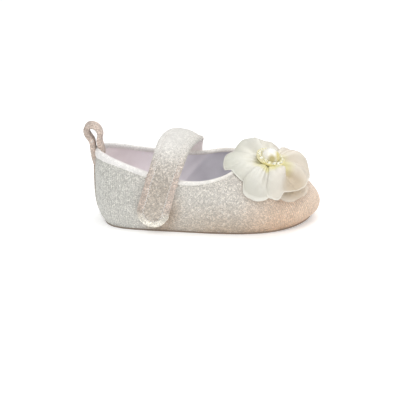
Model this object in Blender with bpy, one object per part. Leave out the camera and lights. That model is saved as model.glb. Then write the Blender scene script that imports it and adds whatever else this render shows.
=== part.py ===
"""Baby's soft-soled strap shoe in glitter satin, with an organza flower on the vamp.

The shoe is a right one. It is drawn from the back of the heel, with +X to the toe, -Y to the outer
(lateral) side of the foot and +Z up from the floor, and the whole is then set over the origin by the
middle of its box. Every length is in metres, and every share is of a driving dimension.
"""

import math
from collections import namedtuple

import bmesh
import bpy
import numpy as np
from mathutils import Matrix, Vector
from mathutils.bvhtree import BVHTree

# Driving dimensions
LENGTH = 0.1165
BALL_WIDTH = 0.056
HEEL_HEIGHT = 0.0380
BOX_MIDDLE_X = 0.0554
BOX_MIDDLE_Y = 0.0000
GAP = 0.0003

# Upper: glitter cloth, padding and lining sewn as one wall
WALL = 0.0016
COLLAR_WALL = 0.0020
COLLAR_ROWS = 2
AROUND = 72
ROWS_UP = 10
ROW_CROWDING = 1.25
BULGE_PEAK = 0.55
OUTLINE_STEP = 0.0001

# A row for each section of the last, from the back of the heel to the tip of the toe. Stations are
# shares of LENGTH, half widths and bulge of BALL_WIDTH, collar heights of HEEL_HEIGHT. The feather
# line is where the upper meets the sole, and crown is how far the wall has turned over at the collar.
Section = namedtuple(
    "Section",
    "name feather_x feather_lateral feather_medial bulge "
    "collar_x collar_lateral collar_medial collar_height crown_deg",
)
SECTIONS = (
    Section("heel_back", 0.0275, 0.000, 0.000, 0.057, 0.005, 0.000, 0.000, 1.000, 75),
    Section("heel_turn", 0.0700, 0.255, 0.255, 0.057, 0.052, 0.165, 0.165, 0.979, 75),
    Section("heel", 0.1890, 0.345, 0.345, 0.054, 0.163, 0.282, 0.282, 0.884, 75),
    Section("waist", 0.3780, 0.398, 0.398, 0.050, 0.343, 0.407, 0.407, 0.761, 72),
    Section("joint", 0.6010, 0.443, 0.443, 0.055, 0.489, 0.414, 0.414, 0.747, 64),
    Section("toe_side", 0.8030, 0.385, 0.395, 0.061, 0.582, 0.350, 0.350, 0.813, 60),
    Section("toe_turn", 0.9140, 0.235, 0.255, 0.078, 0.642, 0.196, 0.196, 0.853, 64),
    Section("toe_tip", 0.9680, 0.000, 0.000, 0.088, 0.661, 0.000, 0.000, 0.863, 66),
)

# Sole and insole
SOLE_THICKNESS = 0.0020
SOLE_INSET = 0.0005
TOE_SPRING = 0.0022
SPRING_START = 0.66
SOLE_ACROSS = 4
INSOLE_THICKNESS = 0.0012
INSOLE_CLEARANCE = 0.0006

# Strap: sewn to the outside of the medial wall, over the instep, fastened down the lateral wall
STRAP_WIDTH = 0.0165
STRAP_THICKNESS = 0.0020
STRAP_PANEL_SHARE = 0.78
STRAP_BORDER = 0.0030
STRAP_STITCH_SHARE = 0.07
STRAP_EDGE_SHARE = 0.86
STRAP_TIP_SQUARE = 0.999
STRAP_TIP_ROWS = 2
STRAP_RISE = 0.0150
STRAP_BANK = 0.0022
STRAP_CROWN = 0.0028
STRAP_LAP = 0.0110
STRAP_TIP_HEIGHT = 0.0042
STRAP_TIP_X = 0.0302
STRAP_LATERAL_X = 0.0360
STRAP_MEDIAL_X = 0.0456
STRAP_TURN = 0.42
STRAP_TURN_ROUND = 0.12
STRAP_WALL_ROWS = 10
STRAP_ARCH_ROWS = 20
STRAP_LAP_ROWS = 4
WIDEST_HEIGHT = 0.0090

# Pull loop, astride the collar at the back of the heel
LOOP_WIDTH = 0.0072
LOOP_THICKNESS = 0.0016
LOOP_SEAT = 0.0006
LOOP_HEIGHT = 0.0118
LOOP_HALF_SPREAD = 0.0042
LOOP_LEAN = -0.0048
LOOP_BELLY = 1.6
LOOP_BELLY_POWER = 1.2
LOOP_SHOULDER_POWER = 0.8
LOOP_OUTER_LAP = 0.0085
LOOP_INNER_LAP = 0.0065
LOOP_ROWS = 22
LOOP_LAP_ROWS = 3
LOOP_COLUMNS = 6
LOOP_REACH_X = 0.0190

# Tape over the back seam
SEAM_WIDTH = 0.0042
SEAM_THICKNESS = 0.0007
SEAM_FOOT = 0.0045
SEAM_ROWS = 10
SEAM_COLUMNS = 4

# Flower: looped organza petals round a gathered root, with a brooch over it
FLOWER_X = 0.0892
FLOWER_Y = -0.0030
FLOWER_PITCH_DEG = 12
FLOWER_ROLL_DEG = 14
BROOCH_ROLL_DEG = 4
PETAL_WALL = 0.0005
PETAL_ROOT_RADIUS = 0.0038
PETAL_SIDE_GAP = 0.0005
PETAL_TIP_ROUND = 0.10
PETAL_CUP = 0.35
PETAL_ROOT_HEIGHT = 0.0023
PETAL_ROOT_SPLIT = 0.0005
PETAL_PINCH = 0.8
PETAL_DROOP_POWER = 4
PETAL_OPEN_SHARE = 0.04
PETAL_STEPS = 16
PETAL_COLUMNS = 6
PETAL_PLEATS = 3
Petal = namedtuple("Petal", "name turn_deg half_deg length slope droop twist puff pleat")
PETALS = (
    Petal("petal_heel", 193, 38, 0.0245, 0.15, 0.0040, 0.10, 0.0025, 0.0005),
    Petal("petal_throat", 126, 29, 0.0240, 0.11, 0.0030, 0.00, 0.0026, 0.0005),
    Petal("petal_medial", 66, 31, 0.0230, 0.01, 0.0060, 0.00, 0.0026, 0.0005),
    Petal("petal_front", 6, 29, 0.0225, 0.08, 0.0055, 0.00, 0.0026, 0.0005),
    Petal("petal_toe", -57, 34, 0.0260, 0.08, 0.0090, 0.00, 0.0028, 0.0005),
    Petal("petal_lateral", 250, 19, 0.0275, 0.16, 0.0080, -0.16, 0.0025, 0.0005),
)
CORE_RADIUS = 0.0028
CORE_FOOT = 0.0009
CORE_TOP = 0.0053
CORE_PLEATS = 10
CORE_PLEAT_SHARE = 0.86

# Brooch: a gold dish with a pearl in its bezel and a ring of small beads
DISH_RADIUS = 0.0074
DISH_THICKNESS = 0.0007
RIM_HEIGHT = 0.0006
RIM_WIDTH = 0.0004
BEZEL_RADIUS = 0.0048
BEZEL_HEIGHT = 0.0006
PEARL_RADIUS = 0.0045
PEARL_DOME = 0.0036
PEARL_ROWS = 6
BEAD_RADIUS = 0.00085
BEAD_COUNT = 15
BEAD_SIDES = 6
BEAD_ROWS = 4
TURNED_STEPS = 24
MERGE = 0.000001

UP = Vector((0, 0, 1))
FORWARD = Vector((1, 0, 0))

# Base colour, roughness and metallic of each finish
FINISHES = {
    "glitter_satin": ((0.83, 0.78, 0.74), 0.55, 0.0),
    "strap_satin": ((0.80, 0.74, 0.69), 0.55, 0.0),
    "sole_cloth": ((0.55, 0.50, 0.46), 0.90, 0.0),
    "lining": ((0.80, 0.78, 0.82), 0.70, 0.0),
    "organza": ((0.90, 0.89, 0.82), 0.45, 0.0),
    "gold": ((0.86, 0.76, 0.42), 0.25, 1.0),
    "pearl": ((0.93, 0.90, 0.82), 0.15, 0.0),
    "crystal": ((0.95, 0.95, 0.90), 0.10, 0.0),
}


def clear_scene():
    for obj in list(bpy.data.objects):
        bpy.data.objects.remove(obj, do_unlink=True)


def finish(name):
    """The named finish as a material, made once."""
    made = bpy.data.materials.get(name)
    if made:
        return made
    colour, roughness, metallic = FINISHES[name]
    made = bpy.data.materials.new(name)
    made.use_nodes = True
    shader = made.node_tree.nodes["Principled BSDF"]
    shader.inputs["Base Color"].default_value = (*colour, 1.0)
    shader.inputs["Roughness"].default_value = roughness
    shader.inputs["Metallic"].default_value = metallic
    return made


def piece(name, mesh_builder, material, parent):
    """An object of that name whose mesh is the bmesh given."""
    mesh = bpy.data.meshes.new(name)
    bmesh.ops.recalc_face_normals(mesh_builder, faces=mesh_builder.faces)
    mesh_builder.to_mesh(mesh)
    mesh_builder.free()
    mesh.shade_smooth()
    obj = bpy.data.objects.new(name, mesh)
    obj.data.materials.append(finish(material))
    obj.parent = parent
    bpy.context.scene.collection.objects.link(obj)
    return obj


def skin(rows, closed=False):
    """A bmesh skinned through rows of points. Closed rows are rings."""
    made = bmesh.new()
    lines = []
    for row in rows:
        verts = [made.verts.new(p) for p in row]
        pairs = list(zip(verts, verts[1:]))
        if closed:
            pairs.append((verts[-1], verts[0]))
        lines.append([made.edges.new(pair) for pair in pairs])
    for below, above in zip(lines, lines[1:]):
        bmesh.ops.bridge_loops(made, edges=below + above)
    return made


def sign_along(obj, direction):
    """1 where the piece's faces look mostly along a direction, -1 where they look against it."""
    facing = sum(p.normal.dot(direction) * p.area for p in obj.data.polygons)
    return 1 if facing > 0 else -1


def thicken(obj, thickness, offset, group_weights=None):
    """A Solidify wall. Offset -1 grows it against the normals, 1 along them, 0 both ways."""
    wall = obj.modifiers.new("wall", "SOLIDIFY")
    wall.thickness = thickness
    wall.offset = offset
    wall.use_even_offset = True
    if group_weights is not None:
        group = obj.vertex_groups.new(name="wall")
        for index, weight in enumerate(group_weights):
            group.add([index], weight, "REPLACE")
        wall.vertex_group = group.name
    return wall


class RingSpline:
    """A smooth closed curve through the rows of a table, read at a share of the way round."""

    def __init__(self, rows, spacing):
        self.rows = np.asarray(rows, float)
        self.knots = np.concatenate([[0.0], np.cumsum(spacing)])
        count = len(self.rows)
        matrix = np.zeros((count, count))
        right = np.zeros_like(self.rows)
        for i in range(count):
            before, after = spacing[i - 1], spacing[i]
            back, ahead = self.rows[i - 1], self.rows[(i + 1) % count]
            matrix[i, i - 1] += after
            matrix[i, i] += 2 * (before + after)
            matrix[i, (i + 1) % count] += before
            rise_in = (self.rows[i] - back) / before
            rise_out = (ahead - self.rows[i]) / after
            right[i] = 3 * (after * rise_in + before * rise_out)
        self.slopes = np.linalg.solve(matrix, right)

    def at(self, share):
        place = (share % 1.0) * self.knots[-1]
        i = int(np.searchsorted(self.knots, place, side="right")) - 1
        i = min(i, len(self.rows) - 1)
        span = self.knots[i + 1] - self.knots[i]
        t = (place - self.knots[i]) / span
        start, end = self.rows[i], self.rows[(i + 1) % len(self.rows)]
        slope_in, slope_out = self.slopes[i] * span, self.slopes[(i + 1) % len(self.rows)] * span
        return (
            (2 * t**3 - 3 * t**2 + 1) * start
            + (t**3 - 2 * t**2 + t) * slope_in
            + (3 * t**2 - 2 * t**3) * end
            + (t**3 - t**2) * slope_out
        )


class Last:
    """The form that the upper is drawn on. Share 0 is the back of the heel, and the share grows
    by the lateral side to the toe and back by the medial side."""

    def __init__(self):
        ring = [self.row(s, -1, s.feather_lateral, s.collar_lateral) for s in SECTIONS]
        ring += [self.row(s, 1, s.feather_medial, s.collar_medial) for s in SECTIONS[-2:0:-1]]
        ring = np.array(ring)
        ahead = np.roll(ring, -1, axis=0)
        spacing = np.hypot(*(ahead - ring)[:, :2].T)
        self.spline = RingSpline(ring, spacing)
        self.toe_share = float(np.sum(spacing[: len(SECTIONS) - 1]) / np.sum(spacing))

    @staticmethod
    def row(section, side, feather_width, collar_width):
        return (
            section.feather_x * LENGTH,
            side * feather_width * BALL_WIDTH,
            section.bulge * BALL_WIDTH,
            section.collar_x * LENGTH,
            side * collar_width * BALL_WIDTH,
            section.collar_height * HEEL_HEIGHT,
            math.radians(section.crown_deg),
        )

    def feather(self, share, inset=0.0):
        """The sole's outline, moved in by inset, as plan x and y."""
        x, y = self.spline.at(share)[:2]
        out_x, out_y = self.outward(share)
        return x - inset * out_x, y - inset * out_y

    def outward(self, share):
        x0, y0 = self.spline.at(share - OUTLINE_STEP)[:2]
        x1, y1 = self.spline.at(share + OUTLINE_STEP)[:2]
        run = math.hypot(x1 - x0, y1 - y0)
        return (y1 - y0) / run, -(x1 - x0) / run

    def wall(self, share, up):
        """The outer face of the upper: up is 0 at the feather line and 1 at the collar."""
        x, y, bulge, collar_x, collar_y, collar_z, crown = self.spline.at(share)
        low = spring(x) + SOLE_THICKNESS + GAP
        turn = up * crown
        inward = (1 - math.cos(turn)) / (1 - math.cos(crown))
        climb = math.sin(turn) / math.sin(crown)
        swell = bulge * math.sin(math.pi * up**BULGE_PEAK)
        out_x, out_y = self.outward(share)
        return Vector((
            x + (collar_x - x) * inward + out_x * swell,
            y + (collar_y - y) * inward + out_y * swell,
            low + (collar_z - low) * climb,
        ))

    def up_at(self, share, height):
        """How far up the wall a height is, found by the sine that the wall climbs on."""
        x, _, _, _, _, collar_z, crown = self.spline.at(share)
        low = spring(x) + SOLE_THICKNESS + GAP
        climb = (height - low) / (collar_z - low)
        return math.asin(climb * math.sin(crown)) / crown

    def collar_height(self, x, side):
        """Height of the collar over the place x on one side, -1 lateral and 1 medial."""
        first, last = (0.0, self.toe_share) if side < 0 else (1.0, self.toe_share)
        shares = np.linspace(first, last, AROUND)
        rows = np.array([self.spline.at(s) for s in shares])
        return float(np.interp(x, rows[:, 3], rows[:, 5]))


def spring(x):
    """How far the sole has lifted off the floor at x."""
    start = SPRING_START * LENGTH
    run = max(0.0, x - start) / (LENGTH - start)
    return TOE_SPRING * run**2


def upper_piece(last, parent):
    rows = []
    for j in range(ROWS_UP + 1):
        up = (j / ROWS_UP) ** ROW_CROWDING
        rows.append([last.wall(i / AROUND, up) for i in range(AROUND)])
    obj = piece("upper", skin(rows, closed=True), "glitter_satin", parent)
    plain = WALL / COLLAR_WALL
    weights = []
    for j in range(ROWS_UP + 1):
        near_top = max(0.0, 1 - (ROWS_UP - j) / COLLAR_ROWS)
        weights += [plain + (1 - plain) * near_top] * AROUND
    thicken(obj, COLLAR_WALL, -1, weights)
    return obj


def plate(last, inset, low):
    """A sole-shaped sheet: rows across the foot, from the heel to the toe."""
    half = AROUND // 2
    rows = []
    for i in range(half + 1):
        share = last.toe_share * i / half
        opposite = 1.0 - (1.0 - last.toe_share) * i / half
        lateral, medial = last.feather(share, inset), last.feather(opposite, inset)
        row = []
        for k in range(SOLE_ACROSS + 1):
            t = k / SOLE_ACROSS
            x = lateral[0] + (medial[0] - lateral[0]) * t
            y = lateral[1] + (medial[1] - lateral[1]) * t
            row.append((x, y, low + spring(x)))
        rows.append(row)
    made = skin(rows[1:-1])
    for row, end in ((rows[1], rows[0][0]), (rows[-2], rows[-1][0])):
        tip = made.verts.new(end)
        edge = [min(made.verts, key=lambda v, p=p: (v.co - Vector(p)).length) for p in row]
        for a, b in zip(edge, edge[1:]):
            made.faces.new((a, b, tip))
    return made


def plate_piece(name, last, inset, low, thickness, material, parent):
    obj = piece(name, plate(last, inset, low), material, parent)
    thicken(obj, thickness, sign_along(obj, UP))
    return obj


def evaluated_tree(obj):
    bpy.context.view_layer.update()
    return BVHTree.FromObject(obj, bpy.context.evaluated_depsgraph_get())


def touch(tree, start, towards):
    """The first point of a surface met from start."""
    return tree.ray_cast(Vector(start), Vector(towards))[0]


def sweep(share):
    """0 over the medial part of the arch, then a straight slant back to 1 at the lateral collar."""
    def bent(at):
        past = at - STRAP_TURN
        return past + math.hypot(past, STRAP_TURN_ROUND)
    return (bent(share) - bent(0.0)) / (bent(1.0) - bent(0.0))


def strap_fibre(last, tree, across):
    """One lengthwise line of the strap's inner face, from the medial lap to the lateral tip.
    across is -1 on the heel side and 1 on the toe side."""
    half = STRAP_WIDTH / 2
    drop = last.collar_height(STRAP_LATERAL_X, -1) - STRAP_TIP_HEIGHT
    lean = (STRAP_LATERAL_X - STRAP_TIP_X) / drop
    medial_x = STRAP_MEDIAL_X + across * half
    lateral_x = STRAP_LATERAL_X + across * half
    medial_top = last.collar_height(medial_x, 1)
    lateral_top = last.collar_height(lateral_x, -1)
    points = []
    for i in range(STRAP_LAP_ROWS):
        z = medial_top - STRAP_LAP * (1 - i / STRAP_LAP_ROWS)
        wall = touch(tree, (medial_x, LENGTH, z), (0, -1, 0))
        points.append(Vector((medial_x, wall.y + GAP, z)))
    foot_m = touch(tree, (medial_x, LENGTH, medial_top - WALL), (0, -1, 0)).y + GAP
    foot_l = touch(tree, (lateral_x, -LENGTH, lateral_top - WALL), (0, 1, 0)).y - GAP
    middle, spread = (foot_m + foot_l) / 2, (foot_m - foot_l) / 2
    rise = STRAP_RISE - across * STRAP_BANK - across**2 * STRAP_CROWN
    for i in range(STRAP_ARCH_ROWS + 1):
        turn = math.pi * i / STRAP_ARCH_ROWS
        share = i / STRAP_ARCH_ROWS
        points.append(Vector((
            medial_x + (lateral_x - medial_x) * sweep(share),
            middle + spread * math.cos(turn),
            medial_top + (lateral_top - medial_top) * share + rise * math.sin(turn),
        )))
    rounding = half * (1 - math.sqrt(1 - (across * STRAP_TIP_SQUARE) ** 2))
    tip = STRAP_TIP_HEIGHT + rounding - across * half * lean
    for i in range(1, STRAP_WALL_ROWS + 1):
        z = lateral_top + (tip - lateral_top) * i / STRAP_WALL_ROWS
        x = lateral_x - (lateral_top - z) * lean
        wall = touch(tree, (x, -LENGTH, max(z, WIDEST_HEIGHT)), (0, 1, 0))
        points.append(Vector((x, wall.y - GAP, z)))
    return points


def strap_piece(last, upper_tree, parent):
    panel = 1 - 2 * STRAP_BORDER / STRAP_WIDTH
    border = panel + STRAP_STITCH_SHARE
    half = (panel, border, STRAP_EDGE_SHARE, 1.0)
    columns = [-c for c in reversed(half)] + [0.0] + list(half)
    fibres = [strap_fibre(last, upper_tree, c) for c in columns]
    rows = [list(row) for row in zip(*fibres)]
    obj = piece("strap", skin(rows), "strap_satin", parent)
    quilted = [STRAP_PANEL_SHARE if abs(c) <= panel else 1.0 for c in columns]
    weights = quilted * (len(rows) - STRAP_TIP_ROWS) + [1.0] * len(columns) * STRAP_TIP_ROWS
    thicken(obj, STRAP_THICKNESS, sign_along(obj, UP), weights)
    return obj


def loop_piece(last, upper_tree, parent):
    """A folded strip astride the collar: down the outside of the heel, down the inside, a bow above."""
    collar = last.wall(0.0, 1.0)
    half = LOOP_WIDTH / 2
    clear = LOOP_SEAT + LOOP_THICKNESS / 2
    columns = [half * (2 * k / (LOOP_COLUMNS - 1) - 1) for k in range(LOOP_COLUMNS)]

    def outer(z):
        return [touch(upper_tree, (-LENGTH, y, z), (1, 0, 0)).x - clear for y in columns]

    def inner(z):
        return [touch(upper_tree, (LOOP_REACH_X, y, z), (-1, 0, 0)).x + clear for y in columns]

    rows = []
    for i in range(LOOP_LAP_ROWS):
        z = collar.z - LOOP_OUTER_LAP * (1 - i / LOOP_LAP_ROWS)
        rows.append([(x, y, z) for x, y in zip(outer(z), columns)])
    outside, inside = min(outer(collar.z - WALL)), max(inner(collar.z - WALL))
    middle, spread = (outside + inside) / 2, (inside - outside) / 2
    for i in range(LOOP_ROWS + 1):
        turn = math.pi * i / LOOP_ROWS
        belly = LOOP_BELLY * (LOOP_HALF_SPREAD - spread) * math.sin(turn) ** LOOP_BELLY_POWER
        x = middle - (spread + belly) * math.cos(turn) + LOOP_LEAN * math.sin(turn)
        z = collar.z + LOOP_HEIGHT * math.sin(turn) ** LOOP_SHOULDER_POWER
        rows.append([(x, y, z) for y in columns])
    for i in range(1, LOOP_LAP_ROWS + 1):
        z = collar.z - LOOP_INNER_LAP * i / LOOP_LAP_ROWS
        rows.append([(x, y, z) for x, y in zip(inner(z), columns)])
    obj = piece("pull_loop", skin(rows), "strap_satin", parent)
    thicken(obj, LOOP_THICKNESS, 0)
    return obj


def seam_piece(last, parent):
    """A tape over the back seam, from the feather line up to the foot of the pull loop."""
    perimeter = last.spline.knots[-1]
    top = last.wall(0.0, 1.0).z - LOOP_OUTER_LAP - LOOP_THICKNESS
    rows = []
    for j in range(SEAM_ROWS + 1):
        height = SEAM_FOOT + (top - SEAM_FOOT) * j / SEAM_ROWS
        row = []
        for k in range(SEAM_COLUMNS + 1):
            share = SEAM_WIDTH / perimeter * (k / SEAM_COLUMNS - 0.5)
            out_x, out_y = last.outward(share)
            row.append(last.wall(share, last.up_at(share, height)) + Vector((out_x, out_y, 0)) * GAP)
        rows.append(row)
    obj = piece("back_seam", skin(rows), "glitter_satin", parent)
    thicken(obj, SEAM_THICKNESS, -sign_along(obj, FORWARD))
    return obj


def flower_frame(upper_tree):
    """Where the flower is sewn: its origin on the vamp, x to the toe, y to the medial side and z
    off the cloth."""
    root = touch(upper_tree, (FLOWER_X, FLOWER_Y, LENGTH), (0, 0, -1))
    pitch = Matrix.Rotation(math.radians(FLOWER_PITCH_DEG), 4, "Y")
    roll = Matrix.Rotation(math.radians(FLOWER_ROLL_DEG), 4, "X")
    return Matrix.Translation(root) @ pitch @ roll


def petal_point(petal, step, across):
    """A point of the petal's cloth: step runs out along the lower layer and back along the upper.
    Each petal keeps to its own sector of the flower, so that neighbours stay clear."""
    turn = 2 * math.pi * (PETAL_OPEN_SHARE + (1 - 2 * PETAL_OPEN_SHARE) * step)
    reach = petal.length * (1 - PETAL_TIP_ROUND * abs(across) ** 3)
    out = (1 - math.cos(turn)) / 2
    radius = PETAL_ROOT_RADIUS + (reach - PETAL_ROOT_RADIUS) * out
    share = radius / petal.length
    angle = across * (math.radians(petal.half_deg) - PETAL_SIDE_GAP / radius)
    side = radius * math.sin(angle)
    middle = PETAL_ROOT_HEIGHT + petal.slope * radius - petal.droop * share**PETAL_DROOP_POWER
    loft = -petal.puff * math.sin(turn) * out**PETAL_PINCH * (1 - PETAL_CUP * across**2)
    split = -PETAL_ROOT_SPLIT * math.cos(turn / 2)
    fold = petal.pleat * math.cos(PETAL_PLEATS * math.pi * across) * share
    height = middle + petal.twist * side + loft + split + fold
    return Vector((radius * math.cos(angle), side, height))


def petal_piece(petal, frame, parent):
    turned = frame @ Matrix.Rotation(math.radians(petal.turn_deg), 4, "Z")
    rows = []
    for i in range(PETAL_STEPS + 1):
        columns = [2 * k / PETAL_COLUMNS - 1 for k in range(PETAL_COLUMNS + 1)]
        rows.append([turned @ petal_point(petal, i / PETAL_STEPS, c) for c in columns])
    obj = piece(petal.name, skin(rows), "organza", parent)
    thicken(obj, PETAL_WALL, 0)
    return obj


def turned_piece(name, profile, frame, material, parent):
    """A closed profile of radius and height, spun round the flower's own axis."""
    made = bmesh.new()
    ring = [made.verts.new((r, 0, z)) for r, z in profile]
    edges = [made.edges.new(pair) for pair in zip(ring, ring[1:])]
    bmesh.ops.spin(
        made, geom=ring + edges, cent=(0, 0, 0), axis=(0, 0, 1), angle=2 * math.pi,
        steps=TURNED_STEPS, use_merge=True,
    )
    bmesh.ops.remove_doubles(made, verts=made.verts, dist=MERGE)
    bmesh.ops.transform(made, matrix=frame, verts=made.verts)
    return piece(name, made, material, parent)


def core_piece(frame, parent):
    """The gathered roots of the petals: a short pleated stem from the vamp to the brooch."""
    made = bmesh.new()
    bmesh.ops.create_cone(
        made, cap_ends=True, cap_tris=True, segments=2 * CORE_PLEATS,
        radius1=CORE_RADIUS, radius2=CORE_RADIUS, depth=CORE_TOP - CORE_FOOT,
    )
    for i, vert in enumerate(made.verts):
        if (i // 2) % 2:
            vert.co.x *= CORE_PLEAT_SHARE
            vert.co.y *= CORE_PLEAT_SHARE
        vert.co.z += (CORE_TOP + CORE_FOOT) / 2
    bmesh.ops.transform(made, matrix=frame, verts=made.verts)
    return piece("flower_core", made, "organza", parent)


def brooch_pieces(frame, parent):
    seat = CORE_TOP + GAP
    face = seat + DISH_THICKNESS
    bead_ring = (DISH_RADIUS + BEZEL_RADIUS) / 2
    dish = (
        (0.0, seat),
        (DISH_RADIUS, seat),
        (DISH_RADIUS, face + RIM_HEIGHT),
        (DISH_RADIUS - RIM_WIDTH, face + RIM_HEIGHT),
        (DISH_RADIUS - RIM_WIDTH, face),
        (BEZEL_RADIUS + RIM_WIDTH, face),
        (BEZEL_RADIUS + RIM_WIDTH, face + BEZEL_HEIGHT),
        (BEZEL_RADIUS, face + BEZEL_HEIGHT),
        (BEZEL_RADIUS, face),
        (0.0, face),
    )
    turned_piece("brooch_dish", dish, frame, "gold", parent)
    girdle = face + BEZEL_HEIGHT
    pearl = [(0.0, face + GAP), (PEARL_RADIUS, face + GAP), (PEARL_RADIUS, girdle)]
    for i in range(1, PEARL_ROWS + 1):
        turn = math.pi / 2 * i / PEARL_ROWS
        pearl.append((PEARL_RADIUS * math.cos(turn), girdle + PEARL_DOME * math.sin(turn)))
    turned_piece("brooch_pearl", pearl, frame, "pearl", parent)
    for i in range(BEAD_COUNT):
        made = bmesh.new()
        bmesh.ops.create_uvsphere(
            made, u_segments=BEAD_SIDES, v_segments=BEAD_ROWS, radius=BEAD_RADIUS
        )
        turn = 2 * math.pi * i / BEAD_COUNT
        x, y = bead_ring * math.cos(turn), bead_ring * math.sin(turn)
        place = Vector((x, y, face + GAP + BEAD_RADIUS))
        bmesh.ops.transform(made, matrix=frame @ Matrix.Translation(place), verts=made.verts)
        piece(f"bead_{i + 1:02d}", made, "crystal", parent)


def main():
    clear_scene()
    shoe = bpy.data.objects.new("shoe", None)
    shoe.location = (-BOX_MIDDLE_X, -BOX_MIDDLE_Y, 0)
    bpy.context.scene.collection.objects.link(shoe)
    last = Last()
    plate_piece("outsole", last, SOLE_INSET, 0.0, SOLE_THICKNESS, "sole_cloth", shoe)
    inside = WALL + INSOLE_CLEARANCE
    plate_piece("insole", last, inside, SOLE_THICKNESS + GAP, INSOLE_THICKNESS, "lining", shoe)
    upper = upper_piece(last, None)
    upper_tree = evaluated_tree(upper)
    upper.parent = shoe
    strap_piece(last, upper_tree, shoe)
    loop_piece(last, upper_tree, shoe)
    seam_piece(last, shoe)
    frame = flower_frame(upper_tree)
    for petal in PETALS:
        petal_piece(petal, frame, shoe)
    core_piece(frame, shoe)
    brooch_pieces(frame @ Matrix.Rotation(math.radians(BROOCH_ROLL_DEG), 4, "X"), shoe)


if __name__ == "__main__":
    main()
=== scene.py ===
# %% [markdown]
# # A baby's strap shoe in glitter satin
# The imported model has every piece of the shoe: sole, upper, strap, pull loop, flower and brooch. This
# lesson dresses it. Each solid is replaced by a finer mesh, with cloth, organza, gold and pearl finishes
# made from shader nodes. Strap, flower and brooch lie up to a few millimetres from their solids, where
# the photo shows them. The shoe stands with its toe towards +X, its outer side towards -Y and its sole on
# the floor at Z = 0. All lengths are in metres.

# %% Load the frame
import math
from collections import namedtuple
from functools import lru_cache

import bmesh
import bpy
import numpy as np
from mathutils import Matrix, Vector, noise
from mathutils.bvhtree import BVHTree
from mathutils.kdtree import KDTree


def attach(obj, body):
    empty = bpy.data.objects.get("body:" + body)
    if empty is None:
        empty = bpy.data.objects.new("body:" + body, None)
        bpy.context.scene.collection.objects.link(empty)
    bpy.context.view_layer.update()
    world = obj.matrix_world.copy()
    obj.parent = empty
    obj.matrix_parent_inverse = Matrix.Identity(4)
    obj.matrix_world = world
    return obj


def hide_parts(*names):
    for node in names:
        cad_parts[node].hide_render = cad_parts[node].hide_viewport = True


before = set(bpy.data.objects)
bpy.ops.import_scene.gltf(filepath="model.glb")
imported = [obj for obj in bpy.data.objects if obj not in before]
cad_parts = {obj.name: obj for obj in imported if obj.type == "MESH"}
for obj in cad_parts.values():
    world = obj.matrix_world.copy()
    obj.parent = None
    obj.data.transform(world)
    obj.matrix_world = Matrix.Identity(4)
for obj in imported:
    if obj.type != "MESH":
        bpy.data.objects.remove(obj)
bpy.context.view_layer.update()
SCENE = bpy.context.scene
MM = 1000.0

# %% [markdown]
# ## Camera
# The photo looks squarely at the outer side of the shoe, from a little above. A camera can be placed by
# its location and angles, but it is easier to read when it has an aim point, an elevation and a distance.
# The lens then follows from how wide the picture is at the aim point.

# %% Camera
CAMERA_AIM = Vector((-0.0016, -0.0030, 0.0100))
CAMERA_ELEVATION = math.radians(22)
CAMERA_DISTANCE = 0.48
PICTURE_WIDTH = 0.208
SENSOR_MM = 36.0

camera_lens = bpy.data.cameras.new("photo_camera")
camera_lens.sensor_width = SENSOR_MM
camera_lens.lens = SENSOR_MM * CAMERA_DISTANCE / PICTURE_WIDTH
camera = bpy.data.objects.new("photo_camera", camera_lens)
backwards = Vector((0, -math.cos(CAMERA_ELEVATION), math.sin(CAMERA_ELEVATION)))
camera.location = CAMERA_AIM + CAMERA_DISTANCE * backwards
camera.rotation_euler = backwards.to_track_quat("Z", "Y").to_euler()
SCENE.collection.objects.link(camera)
SCENE.camera = camera
print(f"camera lens {camera_lens.lens:.1f} mm")

# %% [markdown]
# ## Light and floor
# A white sweep under soft light is the usual way to photograph small shoes. The world gives an even white
# fill. Two large panels, at the front left and overhead, give the cloth its soft shading, one on the right
# lights the toe, and a small one makes the highlight on the pearl. The floor is one large quad of paper
# that glows a little, so that it stays white. It is no part of the shoe.

# %% Light
WORLD_STRENGTH = 0.52
Panel = namedtuple("Panel", "name place width watts")
PANELS = (
    Panel("key_panel", (-0.35, -0.55, 0.85), 0.60, 2.5),
    Panel("top_panel", (0.15, 0.25, 0.95), 0.80, 4.2),
    Panel("toe_panel", (0.65, -0.40, 0.45), 0.40, 1.2),
    Panel("pearl_panel", (-0.10, -0.35, 0.45), 0.06, 0.10),
)

SCENE.view_settings.view_transform = "Standard"
world = bpy.data.worlds.new("studio")
world.use_nodes = True
world.node_tree.nodes["Background"].inputs["Color"].default_value = (1.0, 1.0, 1.0, 1.0)
world.node_tree.nodes["Background"].inputs["Strength"].default_value = WORLD_STRENGTH
SCENE.world = world
for panel in PANELS:
    light = bpy.data.lights.new(panel.name, "AREA")
    light.size = panel.width
    light.energy = panel.watts
    lamp = bpy.data.objects.new(panel.name, light)
    lamp.location = panel.place
    lamp.rotation_euler = (Vector(panel.place) - CAMERA_AIM).to_track_quat("Z", "Y").to_euler()
    SCENE.collection.objects.link(lamp)
print("light panels:", [panel.name for panel in PANELS])

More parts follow.
